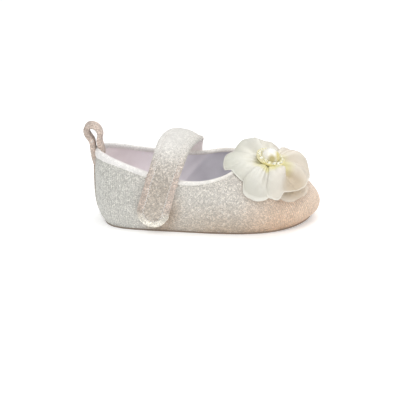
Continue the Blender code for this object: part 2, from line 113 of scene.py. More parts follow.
# %% Floor
FLOOR_SIZE = 3.0
floor_paper = bpy.data.materials.new("floor_paper")
floor_paper.use_nodes = True
paper_sockets = floor_paper.node_tree.nodes["Principled BSDF"].inputs
paper_sockets["Base Color"].default_value = (0.93, 0.93, 0.93, 1.0)
paper_sockets["Roughness"].default_value = 0.9
paper_sockets["Emission Color"].default_value = (1.0, 1.0, 1.0, 1.0)
paper_sockets["Emission Strength"].default_value = 0.28
floor_shape = bmesh.new()
bmesh.ops.create_grid(floor_shape, x_segments=1, y_segments=1, size=FLOOR_SIZE / 2)
floor_mesh = bpy.data.meshes.new("floor")
floor_shape.to_mesh(floor_mesh)
floor_shape.free()
floor_mesh.materials.append(floor_paper)
floor = bpy.data.objects.new("floor", floor_mesh)
SCENE.collection.objects.link(floor)
print("floor", FLOOR_SIZE, "m wide")

# %% [markdown]
# ## Node helpers
# Every finish below is a small tree of shader nodes. A few helpers keep the trees short: one adds a node
# and fills its sockets, either with a value or with a link, and one starts a material. Effects that several
# finishes share are node groups, built once and placed with their own values.

# %% Node helpers
def add_node(tree, kind, values=None, **settings):
    """A new node. Values go to its sockets by name or number; a socket as value becomes a link."""
    made = tree.nodes.new(kind)
    for setting, value in settings.items():
        setattr(made, setting, value)
    for socket, value in (values or {}).items():
        if isinstance(value, bpy.types.NodeSocket):
            tree.links.new(value, made.inputs[socket])
        else:
            made.inputs[socket].default_value = value
    return made


def start_material(name, **sockets):
    """A material with its constants set on the shader's own sockets."""
    made = bpy.data.materials.new(name)
    made.use_nodes = True
    shader = made.node_tree.nodes["Principled BSDF"]
    for socket, value in sockets.items():
        shader.inputs[socket.replace("_", " ")].default_value = value
    return made, made.node_tree, shader


def start_group(name, inputs, outputs):
    """A shader node group with named sockets: the group, its inputs and its outputs."""
    group = bpy.data.node_groups.new(name, "ShaderNodeTree")
    for socket, kind in inputs:
        group.interface.new_socket(socket, in_out="INPUT", socket_type=kind)
    for socket, kind in outputs:
        group.interface.new_socket(socket, in_out="OUTPUT", socket_type=kind)
    return group, group.nodes.new("NodeGroupInput").outputs, group.nodes.new("NodeGroupOutput").inputs


def place_group(tree, group, coordinates, density):
    """A shared effect in a material, with its own coordinates and density."""
    made = add_node(tree, "ShaderNodeGroup", node_tree=group)
    tree.links.new(coordinates, made.inputs[0])
    made.inputs[1].default_value = density
    return made.outputs


def calculate(tree, operation, first, second=0.0):
    return add_node(tree, "ShaderNodeMath", {0: first, 1: second}, operation=operation).outputs[0]


def all_of(tree, first, *others):
    """Several masks multiplied into one."""
    for other in others:
        first = calculate(tree, "MULTIPLY", first, other)
    return first


def remap(tree, value, low, high, to_low=0.0, to_high=1.0):
    values = {"Value": value, "From Min": low, "From Max": high, "To Min": to_low, "To Max": to_high}
    return add_node(tree, "ShaderNodeMapRange", values).outputs["Result"]


def mix_colours(tree, factor, first, second, blend="MIX"):
    values = {0: factor, 6: first, 7: second}
    return add_node(tree, "ShaderNodeMix", values, data_type="RGBA", blend_type=blend).outputs[2]


def grey(tree, value):
    """A value as a grey colour."""
    made = add_node(tree, "ShaderNodeCombineColor", {0: value, 1: value, 2: value})
    return made.outputs[0]


def colour_ramp(tree, value, stops):
    """A ramp with its stops given as place and colour."""
    ramp = add_node(tree, "ShaderNodeValToRGB", {0: value})
    elements = ramp.color_ramp.elements
    while len(elements) < len(stops):
        elements.new(0.5)
    for element, (place, colour) in zip(elements, stops):
        element.position = place
        element.color = colour
    return ramp.outputs[0]


def linear(red, green, blue):
    """A colour as an eye picks it, from 0 to 255, in the shader's linear light."""
    def channel(value):
        share = value / 255
        return share / 12.92 if share <= 0.04045 else ((share + 0.055) / 1.055) ** 2.4
    return (channel(red), channel(green), channel(blue), 1.0)


def coordinates(tree):
    """The Object and UV coordinates of a piece, and the three axes of the first."""
    spot = add_node(tree, "ShaderNodeTexCoord").outputs
    axes = add_node(tree, "ShaderNodeSeparateXYZ", {0: spot["Object"]}).outputs
    return spot["Object"], spot["UV"], axes


print("node helpers ready")

# %% [markdown]
# ## Shared effects
# Glitter cloth is covered with tiny flakes that each catch the light their own way. A Voronoi texture
# splits space into cells, and its colour output gives each cell a fixed random value: one channel makes the
# flake lighter or darker, one picks the few that sparkle, and all three together tilt the flake's normal.
# A second group makes the threads of woven cloth from two waves, and a third a soft uneven tone.

# %% Flakes
SPARK_START = 0.93
FLAKES, flake_in, flake_out = start_group(
    "flakes",
    [("Coordinates", "NodeSocketVector"), ("Flakes per metre", "NodeSocketFloat")],
    [("Tone", "NodeSocketFloat"), ("Spark", "NodeSocketFloat"), ("Height", "NodeSocketFloat"),
     ("Tilt", "NodeSocketVector")],
)
flake_cells = add_node(
    FLAKES, "ShaderNodeTexVoronoi",
    {"Vector": flake_in["Coordinates"], "Scale": flake_in["Flakes per metre"]},
)
flake_channels = add_node(FLAKES, "ShaderNodeSeparateColor", {0: flake_cells.outputs["Color"]})
flake_tilt = add_node(
    FLAKES, "ShaderNodeVectorMath", {0: flake_cells.outputs["Color"], 1: (0.5, 0.5, 0.5)},
    operation="SUBTRACT",
)
FLAKES.links.new(flake_channels.outputs[0], flake_out["Tone"])
FLAKES.links.new(remap(FLAKES, flake_channels.outputs[1], SPARK_START, 1.0), flake_out["Spark"])
FLAKES.links.new(remap(FLAKES, flake_cells.outputs["Distance"], 0.0, 0.8, 1.0, 0.0), flake_out["Height"])
FLAKES.links.new(flake_tilt.outputs[0], flake_out["Tilt"])
print("group", FLAKES.name, [socket.name for socket in flake_out if socket.name])

# %% Threads and mottle
THREADS, thread_in, thread_out = start_group(
    "threads",
    [("Coordinates", "NodeSocketVector"), ("Threads per metre", "NodeSocketFloat")],
    [("Height", "NodeSocketFloat")],
)
thread_axes = add_node(THREADS, "ShaderNodeSeparateXYZ", {0: thread_in["Coordinates"]})
thread_waves = []
for axis in range(2):
    turns = calculate(THREADS, "MULTIPLY", thread_axes.outputs[axis], thread_in["Threads per metre"])
    wave = calculate(THREADS, "SINE", calculate(THREADS, "MULTIPLY", turns, math.pi))
    thread_waves.append(calculate(THREADS, "ABSOLUTE", wave))
THREADS.links.new(calculate(THREADS, "MAXIMUM", *thread_waves), thread_out["Height"])

MOTTLE, mottle_in, mottle_out = start_group(
    "mottle",
    [("Coordinates", "NodeSocketVector"), ("Patches per metre", "NodeSocketFloat")],
    [("Tone", "NodeSocketFloat")],
)
mottle_noise = add_node(
    MOTTLE, "ShaderNodeTexNoise",
    {"Vector": mottle_in["Coordinates"], "Scale": mottle_in["Patches per metre"], "Detail": 3.0},
)
MOTTLE.links.new(remap(MOTTLE, mottle_noise.outputs[0], 0.3, 0.7), mottle_out["Tone"])
print("groups", THREADS.name, MOTTLE.name)

# %% [markdown]
# ## Glitter cloth
# The cloth of the shoe runs from a cool white at the heel to a warm peach at the toe. That change is
# painted light, for the light that metal-thread cloth picks up from two sides; a colour ramp along the shoe
# gives it.
# Painted shade makes the cloth browner low over the sole and beside the strap, in the strap's shadow. The
# flakes then lighten and darken it, a few of them mirror-like, and each leans its own way. They are calmer
# at the toe. Fine upright ribs of the cloth show at heel and toe, so their bump follows the UV map and
# fades in the middle of the shoe.

# %% Flake finish
FLAKE_LEAN = 0.5
FLAKE_BUMP = 0.0003
FLAKE_DARK, FLAKE_LIGHT = -0.64, 1.56
FINE_SHARE = 1.9
FINE_BUMP, BUMP_STRENGTH = 0.5, 0.5
SPARK_COLOUR = linear(255, 254, 250)
SPARK_WHITE, SPARK_METAL = 0.45, 0.4
FLAKE_ROUGHNESS = (0.35, 0.75)
PATCHES_PER_METRE, PATCH_TONES = 160.0, (0.95, 1.04)


def finish_glitter(tree, shader, base, density, contrast, extra=None, wild=1.0):
    """Flakes over a base colour. Contrast is how far they differ in tone; extra is more bump height.
    Wild is 1 where the flakes show in full and 0 where the cloth is smooth."""
    place = coordinates(tree)[0]
    flakes = place_group(tree, FLAKES, place, density)
    fine = place_group(tree, FLAKES, place, FINE_SHARE * density)
    mottle = place_group(tree, MOTTLE, place, PATCHES_PER_METRE)
    grain = calculate(tree, "ADD", flakes["Tone"], fine["Tone"])
    few_bright = calculate(tree, "POWER", calculate(tree, "MULTIPLY", grain, 0.5), 2.0)
    spread = remap(tree, few_bright, 0.0, 1.0, FLAKE_DARK * contrast, FLAKE_LIGHT * contrast)
    tone = calculate(tree, "ADD", calculate(tree, "MULTIPLY", spread, wild), 1.0)
    uneven = remap(tree, mottle["Tone"], 0.0, 1.0, *PATCH_TONES)
    shaded = mix_colours(tree, 1.0, base, grey(tree, calculate(tree, "MULTIPLY", tone, uneven)), "MULTIPLY")
    bright = all_of(tree, flakes["Spark"], SPARK_WHITE, wild)
    shaded = mix_colours(tree, bright, shaded, SPARK_COLOUR)
    tree.links.new(shaded, shader.inputs["Base Color"])
    tree.links.new(remap(tree, fine["Tone"], 0.0, 1.0, *FLAKE_ROUGHNESS), shader.inputs["Roughness"])
    tree.links.new(calculate(tree, "MULTIPLY", flakes["Spark"], SPARK_METAL), shader.inputs["Metallic"])
    face = add_node(tree, "ShaderNodeNewGeometry").outputs["Normal"]
    lean = calculate(tree, "MULTIPLY", wild, FLAKE_LEAN)
    tilt = add_node(tree, "ShaderNodeVectorMath", {0: flakes["Tilt"], "Scale": lean}, operation="SCALE")
    leaning = add_node(tree, "ShaderNodeVectorMath", {0: face, 1: tilt.outputs[0]}, operation="ADD")
    steady = add_node(tree, "ShaderNodeVectorMath", {0: leaning.outputs[0]}, operation="NORMALIZE")
    fine_height = calculate(tree, "MULTIPLY", fine["Height"], FINE_BUMP)
    height = calculate(tree, "ADD", flakes["Height"], fine_height)
    if extra:
        height = calculate(tree, "ADD", height, extra)
    relief = {
        "Height": height, "Strength": BUMP_STRENGTH, "Distance": FLAKE_BUMP, "Normal": steady.outputs[0],
    }
    tree.links.new(add_node(tree, "ShaderNodeBump", relief).outputs[0], shader.inputs["Normal"])


print("flake finish ready")

# %% Upper cloth finish
SHOE_ENDS = (-0.060, 0.060)
RIBS_PER_METRE, RIB_TONES = 950.0, (0.86, 1.10)
RIBS_FROM, RIBS_FULL = 0.026, 0.048
SOLE_PAINTED_SHADE, SOLE_SHADE_HEIGHT, SOLE_SHADE_ALONG = linear(226, 212, 198), (0.019, 0.003), (0.2, 0.55)
STRAP_PAINTED_SHADOW, STRAP_SHADE_LEAN = linear(222, 205, 190), 0.29
STRAP_SHADE_FRONT, STRAP_SHADE_BACK = (-0.0125, -0.0190), (-0.0330, -0.0230)
STRAP_SHADE_HEIGHT, STRAP_SHADE_SIDE = (0.024, 0.012), (0.0, -0.010, 0.0, 0.8)
TOE_CALM = (0.020, 0.048, 1.0, 0.62)
# Painted light: the ramp runs from a cool white at the heel to a warm peach at the toe, for light the cloth
# picks up.
UPPER_STOPS = (
    (0.00, linear(204, 204, 197)),
    (0.30, linear(206, 203, 196)),
    (0.64, linear(211, 205, 196)),
    (0.82, linear(230, 208, 188)),
    (1.00, linear(243, 223, 204)),
)


def upper_finish():
    made, tree, shader = start_material("upper_glitter", Sheen_Weight=0.12, Sheen_Roughness=0.4)
    _, uv, axes = coordinates(tree)
    along = remap(tree, axes[0], *SHOE_ENDS)
    base = colour_ramp(tree, along, UPPER_STOPS)
    # Painted shade: the cloth is darker and browner low over the sole.
    low = all_of(tree, remap(tree, axes[2], *SOLE_SHADE_HEIGHT), remap(tree, along, *SOLE_SHADE_ALONG))
    base = mix_colours(tree, low, base, SOLE_PAINTED_SHADE, "MULTIPLY")
    # Painted shadow: the cloth beside the strap's toe-side edge is darker and browner, as in the strap's
    # shadow.
    lean = calculate(tree, "MULTIPLY", axes[2], STRAP_SHADE_LEAN)
    from_strap = calculate(tree, "SUBTRACT", axes[0], lean)
    painted_strap_shadow = all_of(
        tree, remap(tree, from_strap, *STRAP_SHADE_FRONT), remap(tree, axes[2], *STRAP_SHADE_HEIGHT),
        remap(tree, from_strap, *STRAP_SHADE_BACK), remap(tree, axes[1], *STRAP_SHADE_SIDE),
    )
    base = mix_colours(tree, painted_strap_shadow, base, STRAP_PAINTED_SHADOW, "MULTIPLY")
    ends = remap(tree, calculate(tree, "ABSOLUTE", axes[0]), RIBS_FROM, RIBS_FULL)
    around = add_node(tree, "ShaderNodeSeparateXYZ", {0: uv}).outputs[0]
    rib = calculate(tree, "SINE", calculate(tree, "MULTIPLY", around, 2 * math.pi * RIBS_PER_METRE))
    rib = calculate(tree, "MULTIPLY", rib, ends)
    base = mix_colours(tree, 1.0, base, grey(tree, remap(tree, rib, -1.0, 1.0, *RIB_TONES)), "MULTIPLY")
    calmer_toe = remap(tree, axes[0], *TOE_CALM)
    finish_glitter(tree, shader, base, density=1750.0, contrast=0.44, extra=rib, wild=calmer_toe)
    return made


UPPER_FINISH = upper_finish()
print("finish", UPPER_FINISH.name)

# %% [markdown]
# ## Strap and binding cloth
# The strap is cut from a coarser glitter, with a paler border round its rounded end and a smooth top where
# it is worn. Its colour is painted light and shade: browner down the wall, where it is in shade, and paler
# on top, where the light falls. Its mesh stores a value named mark on each vertex: how far it is from the
# edge. The material reads that attribute, so the border follows the outline wherever the strap bends. The
# collar's binding is a paler, calmer cloth, and the tape of back seam and pull loop is rosier towards its
# top. The tape also has painted light and shade: it is darker on the outside of the heel and lighter
# towards the inner strand of the loop.

# %% Strap and binding finishes
BORDER, BORDER_BLUR = 0.0030, 0.0003
STRAP_HEIGHTS, WORN_TOP = (0.0, 0.050), (0.046, 0.036, 0.25, 1.0)
# Painted light and shade: darker and browner low down the wall, paler on the top, where light falls.
STRAP_SHADED_STOPS = (
    (0.00, linear(194, 184, 172)), (0.50, linear(187, 177, 165)), (0.71, linear(200, 193, 184)),
    (0.85, linear(223, 220, 214)), (1.00, linear(228, 226, 221)),
)
TIP_BORDER, TIP_BORDER_HEIGHT = linear(246, 241, 228), (0.013, 0.007)
SIDE_BORDER, SIDE_BORDER_FOOT = linear(218, 199, 187), (0.010, 0.016)
SIDE_BORDER_TOP = (0.040, 0.030, 0.0, 0.6)
BINDING_STOPS = (
    (0.00, linear(240, 238, 236)), (0.50, linear(240, 237, 231)), (1.00, linear(243, 234, 223)),
)
TAPE_HEIGHTS, TAPE_PAINTED_SIDE_LIGHT = (0.010, 0.050), (-0.0585, -0.0525, 0.93, 1.16)
TAPE_STOPS = (
    (0.00, linear(200, 197, 190)), (0.55, linear(193, 176, 164)), (1.00, linear(199, 182, 170)),
)


def strap_finish():
    made, tree, shader = start_material("strap_glitter", Sheen_Weight=0.12, Sheen_Roughness=0.4)
    _, _, axes = coordinates(tree)
    mark = add_node(tree, "ShaderNodeAttribute", attribute_name="mark").outputs["Fac"]
    base = colour_ramp(tree, remap(tree, axes[2], *STRAP_HEIGHTS), STRAP_SHADED_STOPS)
    border = remap(tree, mark, BORDER + BORDER_BLUR, BORDER - BORDER_BLUR)
    low_end = all_of(tree, border, remap(tree, axes[2], *TIP_BORDER_HEIGHT))
    base = mix_colours(tree, low_end, base, TIP_BORDER)
    sides = all_of(
        tree, border, remap(tree, axes[2], *SIDE_BORDER_FOOT), remap(tree, axes[2], *SIDE_BORDER_TOP),
    )
    base = mix_colours(tree, sides, base, SIDE_BORDER)
    below_worn_top = remap(tree, axes[2], *WORN_TOP)
    finish_glitter(tree, shader, base, density=1500.0, contrast=0.50, wild=below_worn_top)
    return made


def binding_finish():
    made, tree, shader = start_material("binding_satin", Sheen_Weight=0.2, Sheen_Roughness=0.4)
    _, _, axes = coordinates(tree)
    base = colour_ramp(tree, remap(tree, axes[0], *SHOE_ENDS), BINDING_STOPS)
    finish_glitter(tree, shader, base, density=1500.0, contrast=0.26, wild=0.5)
    return made


def tape_finish():
    made, tree, shader = start_material("tape_glitter", Sheen_Weight=0.12, Sheen_Roughness=0.4)
    _, _, axes = coordinates(tree)
    base = colour_ramp(tree, remap(tree, axes[2], *TAPE_HEIGHTS), TAPE_STOPS)
    # Painted light and shade: darker on the outside of the heel, lighter towards the loop's inner strand.
    painted_side_light = remap(tree, axes[0], *TAPE_PAINTED_SIDE_LIGHT)
    base = mix_colours(tree, 1.0, base, grey(tree, painted_side_light), "MULTIPLY")
    finish_glitter(tree, shader, base, density=1200.0, contrast=0.42)
    return made


STRAP_FINISH = strap_finish()
BINDING_FINISH = binding_finish()
TAPE_FINISH = tape_finish()
print("finishes", [m.name for m in (STRAP_FINISH, BINDING_FINISH, TAPE_FINISH)])

# %% [markdown]
# ## Plain cloths
# The lining and sock are a smooth pale lavender-grey satin, a little pinker at the heel and under the
# strap, where some light shines through the thin cloth. A weak emission gives that light. The sole is a
# matt brownish cloth; its dark tone is also painted shade, for the thin shaded line along the foot of the
# shoe. The sewing thread is cream. All get fine threads from their UV maps. Those of the cloths are in
# metres, so that the weave is at its real scale.

# %% Plain cloth finishes
SHINE_THROUGH = 0.05
UNEVEN_SHADE, UNEVEN_SHARE, UNEVEN_PER_METRE = linear(228, 226, 228), 0.5, 120.0
WEAVE_STRENGTH = 0.25
SATIN_WEAVE = (2400.0, (0.60, 0.40), 0.3, 0.00008)


def plain_cloth(name, stops, threads_per_metre, roughness, sheen, depth, shine_through=None):
    """Woven cloth with a ramp of colours along the shoe. Shine_through is a ramp of the light that comes
    through the cloth from outside."""
    made, tree, shader = start_material(name, Sheen_Weight=sheen, Sheen_Roughness=0.35)
    place, uv, axes = coordinates(tree)
    threads = place_group(tree, THREADS, uv, threads_per_metre)
    mottle = place_group(tree, MOTTLE, place, UNEVEN_PER_METRE)
    base = colour_ramp(tree, remap(tree, axes[0], *SHOE_ENDS), stops)
    darker = mix_colours(tree, 1.0, base, UNEVEN_SHADE, "MULTIPLY")
    base = mix_colours(tree, calculate(tree, "MULTIPLY", mottle["Tone"], UNEVEN_SHARE), base, darker)
    tree.links.new(base, shader.inputs["Base Color"])
    if shine_through:
        light = colour_ramp(tree, remap(tree, axes[0], *SHOE_ENDS), shine_through)
        tree.links.new(light, shader.inputs["Emission Color"])
        shader.inputs["Emission Strength"].default_value = SHINE_THROUGH
    tree.links.new(remap(tree, threads["Height"], 0.0, 1.0, *roughness), shader.inputs["Roughness"])
    relief = {"Height": threads["Height"], "Strength": WEAVE_STRENGTH, "Distance": depth}
    tree.links.new(add_node(tree, "ShaderNodeBump", relief).outputs[0], shader.inputs["Normal"])
    return made


LINING_STOPS = (
    (0.00, linear(255, 247, 245)), (0.22, linear(253, 247, 249)), (0.50, linear(245, 244, 249)),
    (1.00, linear(243, 243, 249)),
)
LINING_SHINE = (
    (0.00, linear(255, 238, 236)), (0.28, linear(240, 228, 230)), (0.45, linear(40, 40, 42)),
    (1.00, linear(20, 20, 22)),
)
LINING = plain_cloth("lining_satin", LINING_STOPS, *SATIN_WEAVE, LINING_SHINE)
# Partly painted shade: the sole's dark brown also gives the thin shaded line along the shoe's foot.
SOLE_STOPS_WITH_SHADE = ((0.00, linear(142, 131, 120)), (1.00, linear(150, 130, 112)))
SOLE = plain_cloth("sole_canvas", SOLE_STOPS_WITH_SHADE, 1400.0, (0.95, 0.80), 0.1, 0.0002)
UNDERSIDE_STOPS = ((0.00, linear(252, 245, 243)), (1.00, linear(252, 245, 243)))
UNDERSIDE_SHINE = ((0.00, linear(255, 245, 243)), (1.00, linear(255, 245, 243)))
UNDERSIDE = plain_cloth("strap_underside", UNDERSIDE_STOPS, *SATIN_WEAVE, UNDERSIDE_SHINE)
THREAD_STOPS = ((0.00, linear(247, 244, 239)), (1.00, linear(247, 243, 236)))
THREAD = plain_cloth("sewing_thread", THREAD_STOPS, 3000.0, (0.70, 0.50), 0.2, 0.00005)
print("finishes", [m.name for m in (LINING, SOLE, UNDERSIDE, THREAD)])

# %% [markdown]
# ## Piece helpers
# A sheet of cloth starts as a flat grid from create_grid, with a UV map. A shaping function then takes each
# vertex from its place in the unit square to its place on the shoe. Where the two ends of a grid meet, or a
# row shrinks to a point, the doubled vertices are merged, so the mesh is closed.

# %% Piece helpers
MERGE = 0.000002


def shaped_grid(columns, rows, shape, size, mark=None):
    """A grid whose vertex at u, v goes to shape(u, v). The UV map is scaled to size, in metres.
    Mark is a function of u, v whose value is stored on each vertex."""
    made = bmesh.new()
    uv = made.loops.layers.uv.new("UVMap")
    marks = made.verts.layers.float.new("mark")
    bmesh.ops.create_grid(made, x_segments=columns, y_segments=rows, size=0.5, calc_uvs=True)
    for vert in made.verts:
        u, v = vert.co.x + 0.5, vert.co.y + 0.5
        vert.co = shape(u, v)
        vert[marks] = mark(u, v) if mark else 0.0
    for face in made.faces:
        for corner in face.loops:
            corner[uv].uv = (corner[uv].uv[0] * size[0], corner[uv].uv[1] * size[1])
    bmesh.ops.remove_doubles(made, verts=made.verts, dist=MERGE)
    bmesh.ops.dissolve_degenerate(made, edges=made.edges, dist=MERGE)
    return made


def add_piece(name, made, finish, slot, *nodes):
    """An object of that mesh, which rides on the shoe and stands for the CAD nodes given."""
    bmesh.ops.recalc_face_normals(made, faces=made.faces)
    mesh = bpy.data.meshes.new(name)
    made.to_mesh(mesh)
    made.free()
    mesh.shade_smooth()
    mesh.materials.append(finish)
    obj = bpy.data.objects.new(name, mesh)
    SCENE.collection.objects.link(obj)
    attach(obj, "root")
    if nodes:
        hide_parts(*nodes)
    print(f"{name}: {len(mesh.polygons)} faces, stands for {len(nodes)} nodes")
    return obj


def surface_of(*objects):
    """A search tree over the surfaces of the objects, for casting rays at them."""
    made = bmesh.new()
    for obj in objects:
        made.from_mesh(obj.data)
    tree = BVHTree.FromBMesh(made)
    made.free()
    return tree


print("piece helpers ready")

# %% [markdown]
# ## The last
# A shoemaker draws the upper on a last, the wooden form of a foot. Here the last is a short table: a row
# for each section from heel to toe, with the sole's edge (the feather line), the collar and how the wall
# curves between them. A closed cubic spline joins the rows into one smooth form. These are the packed
# model's own sizes, so the dressed upper has its shape.

# %% Sections of the last
LENGTH = 0.1165
BALL_WIDTH = 0.056
HEEL_HEIGHT = 0.0380
MIDDLE_X = 0.0554
GAP = 0.0003
SOLE_THICKNESS = 0.0020
Section = namedtuple(
    "Section", "name feather_x lateral medial bulge collar_x collar_half collar_z crown_deg"
)
SECTIONS = (
    Section("heel_back", 0.0275, 0.000, 0.000, 0.057, 0.005, 0.000, 1.000, 75),
    Section("heel_turn", 0.0700, 0.255, 0.255, 0.057, 0.052, 0.165, 0.979, 75),
    Section("heel", 0.1890, 0.345, 0.345, 0.054, 0.163, 0.282, 0.884, 75),
    Section("waist", 0.3780, 0.398, 0.398, 0.050, 0.343, 0.407, 0.761, 72),
    Section("joint", 0.6010, 0.443, 0.443, 0.055, 0.489, 0.414, 0.747, 64),
    Section("toe_side", 0.8030, 0.385, 0.395, 0.061, 0.582, 0.350, 0.813, 60),
    Section("toe_turn", 0.9140, 0.235, 0.255, 0.078, 0.642, 0.196, 0.853, 64),
    Section("toe_tip", 0.9680, 0.000, 0.000, 0.088, 0.661, 0.000, 0.863, 66),
)


def ring_row(section, side):
    """One section as lengths: sole's edge x and y, bulge, collar x, y and z, and crown angle."""
    return (
        section.feather_x * LENGTH,
        side * (section.lateral if side < 0 else section.medial) * BALL_WIDTH,
        section.bulge * BALL_WIDTH,
        section.collar_x * LENGTH,
        side * section.collar_half * BALL_WIDTH,
        section.collar_z * HEEL_HEIGHT,
        math.radians(section.crown_deg),
    )


ring = np.array([ring_row(s, -1) for s in SECTIONS] + [ring_row(s, 1) for s in SECTIONS[-2:0:-1]])
ring_spacing = np.hypot(*(np.roll(ring, -1, axis=0) - ring)[:, :2].T)
ring_knots = np.concatenate([[0.0], np.cumsum(ring_spacing)])
TOE_SHARE = float(ring_knots[len(SECTIONS) - 1] / ring_knots[-1])
PERIMETER = float(ring_knots[-1])
print(f"round the feather line: {PERIMETER * MM:.0f} mm, toe at share {TOE_SHARE:.3f}")

# %% Spline round the last
spline_matrix = np.zeros((len(ring), len(ring)))
spline_right = np.zeros_like(ring)
for i, after in enumerate(ring_spacing):
    before = ring_spacing[i - 1]
    ahead = (i + 1) % len(ring)
    spline_matrix[i, i - 1] += after
    spline_matrix[i, i] += 2 * (before + after)
    spline_matrix[i, ahead] += before
    rise_in, rise_out = (ring[i] - ring[i - 1]) / before, (ring[ahead] - ring[i]) / after
    spline_right[i] = 3 * (after * rise_in + before * rise_out)
ring_slopes = np.linalg.solve(spline_matrix, spline_right)


@lru_cache(maxsize=None)
def last_row(share):
    """The last's values at a share of the way round: 0 is the heel, and the lateral side comes first."""
    place = (share % 1.0) * ring_knots[-1]
    i = min(int(np.searchsorted(ring_knots, place, side="right")) - 1, len(ring) - 1)
    ahead = (i + 1) % len(ring)
    span = ring_knots[i + 1] - ring_knots[i]
    t = (place - ring_knots[i]) / span
    row = (
        (2 * t**3 - 3 * t**2 + 1) * ring[i]
        + (t**3 - 2 * t**2 + t) * span * ring_slopes[i]
        + (3 * t**2 - 2 * t**3) * ring[ahead]
        + (t**3 - t**2) * span * ring_slopes[ahead]
    )
    return tuple(float(value) for value in row)


OUTLINE_STEP = 0.0001


@lru_cache(maxsize=None)
def outward(share):
    """The plan direction out of the sole's edge."""
    x0, y0 = last_row(share - OUTLINE_STEP)[:2]
    x1, y1 = last_row(share + OUTLINE_STEP)[:2]
    run = math.hypot(x1 - x0, y1 - y0)
    return (y1 - y0) / run, -(x1 - x0) / run


print("heel back of the collar at", [round(c * MM, 1) for c in last_row(0.0)[3:6]], "mm")

# %% Wall of the last
TOE_SPRING = 0.0022
SPRING_START = 0.66
BULGE_PEAK = 0.55
FRAME_STEP = 0.004
WALL_FOOT = 0.001


def spring(x):
    """How far the toe has lifted off the floor at x, measured from the back of the heel."""
    start = SPRING_START * LENGTH
    return TOE_SPRING * (max(0.0, x - start) / (LENGTH - start)) ** 2


def wall(share, up):
    """The outer face of the upper: up is 0 at the feather line and 1 at the collar."""
    x, y, bulge, collar_x, collar_y, collar_z, crown = last_row(share)
    low = spring(x) + SOLE_THICKNESS + GAP
    turn = up * crown
    inward = (1 - math.cos(turn)) / (1 - math.cos(crown))
    swell = bulge * math.sin(math.pi * up**BULGE_PEAK)
    out_x, out_y = outward(share)
    return Vector((
        x + (collar_x - x) * inward + out_x * swell - MIDDLE_X,
        y + (collar_y - y) * inward + out_y * swell,
        low + (collar_z - low) * math.sin(turn) / math.sin(crown),
    ))


def wall_frame(share, up):
    """A point of the wall, the way out of the cloth and the way up it."""
    along = wall(share + FRAME_STEP, up) - wall(share - FRAME_STEP, up)
    rise = wall(share, min(1.0, up + FRAME_STEP)) - wall(share, max(WALL_FOOT, up - FRAME_STEP))
    return wall(share, up), along.cross(rise).normalized(), rise.normalized()


def collar_height(x, side):
    """Height of the collar over x on one side, -1 lateral and 1 medial."""
    shares = np.linspace(0.0 if side < 0 else 1.0, TOE_SHARE, 72)
    rows = np.array([last_row(float(s)) for s in shares])
    return float(np.interp(x, rows[:, 3], rows[:, 5]))


print("collar over the waist at", round(collar_height(0.042, -1) * MM, 1), "mm")

# %% [markdown]
# ## Creases
# Soft cloth over a thin padding never lies flat. The main creases are listed in a table, in the shoe's
# own sizes: where each lies on the side wall, how long and wide it is, which way it runs and how deep it
# is. Each is a soft trough or ridge: a bell curve across it, and a wider one along it. Finer unevenness and
# the small gathers over the sole come from noise.

# %% Creases of the upper
Crease = namedtuple("Crease", "x z length width turn_deg depth")
LATERAL_CREASES = (
    Crease(0.0398, 0.0110, 0.0150, 0.0020, 80, -0.00060),
    Crease(0.0432, 0.0105, 0.0140, 0.0016, 86, 0.00045),
    Crease(0.0462, 0.0095, 0.0130, 0.0020, 80, -0.00045),
    Crease(0.0220, 0.0150, 0.0170, 0.0020, 74, -0.00035),
    Crease(0.0185, 0.0130, 0.0170, 0.0024, 78, 0.00030),
    Crease(0.0560, 0.0230, 0.0180, 0.0024, 18, -0.00035),
    Crease(0.0700, 0.0120, 0.0220, 0.0030, 24, 0.00030),
    Crease(0.0880, 0.0130, 0.0140, 0.0018, 76, -0.00030),
    Crease(0.0930, 0.0120, 0.0140, 0.0018, 82, 0.00028),
    Crease(0.0980, 0.0115, 0.0130, 0.0018, 88, -0.00028),
    Crease(0.1030, 0.0110, 0.0120, 0.0018, 94, 0.00025),
)
MEDIAL_CREASES = (
    Crease(0.0380, 0.0110, 0.0160, 0.0022, 80, -0.00035),
    Crease(0.0540, 0.0120, 0.0160, 0.0022, 100, 0.00030),
    Crease(0.0740, 0.0110, 0.0180, 0.0026, 24, -0.00030),
    Crease(0.0930, 0.0120, 0.0140, 0.0018, 82, 0.00028),
)
GATHER_LENGTH = 0.0042
GATHER_DEPTH = 0.00030
GATHER_TOP = 0.0065
SWELL, SWELLS_PER_METRE = 0.00022, 90.0
DENT, DENTS_PER_METRE = 0.00010, 260.0


def crease_depth(creases, x, z):
    """How far the cloth stands out or in at x, z on a side wall, all creases together."""
    total = 0.0
    for crease in creases:
        turn = math.radians(crease.turn_deg)
        right, up = x - crease.x, z - crease.z
        along = right * math.cos(turn) + up * math.sin(turn)
        across = up * math.cos(turn) - right * math.sin(turn)
        total += crease.depth * math.exp(-((across / crease.width) ** 2) - (2 * along / crease.length) ** 2)
    return total


def ring_noise(share, wave, seed):
    """Smooth noise round the shoe, which meets itself at the heel."""
    turn = 2 * math.pi * share
    return noise.noise(Vector((math.sin(turn), math.cos(turn), seed)) * (PERIMETER / (2 * math.pi * wave)))


def cloth_relief(spot, share):
    """The relief of the glitter cloth: creases, gathers over the sole, and slight unevenness."""
    creases = LATERAL_CREASES if spot.y < 0 else MEDIAL_CREASES
    relief = crease_depth(creases, spot.x + MIDDLE_X, spot.z)
    relief += GATHER_DEPTH * ring_noise(share, GATHER_LENGTH, 0.5) * max(0.0, 1 - spot.z / GATHER_TOP)
    relief += SWELL * noise.noise(spot * SWELLS_PER_METRE)
    return relief + DENT * noise.noise(spot * DENTS_PER_METRE)


print("creases:", len(LATERAL_CREASES), "lateral,", len(MEDIAL_CREASES), "medial")

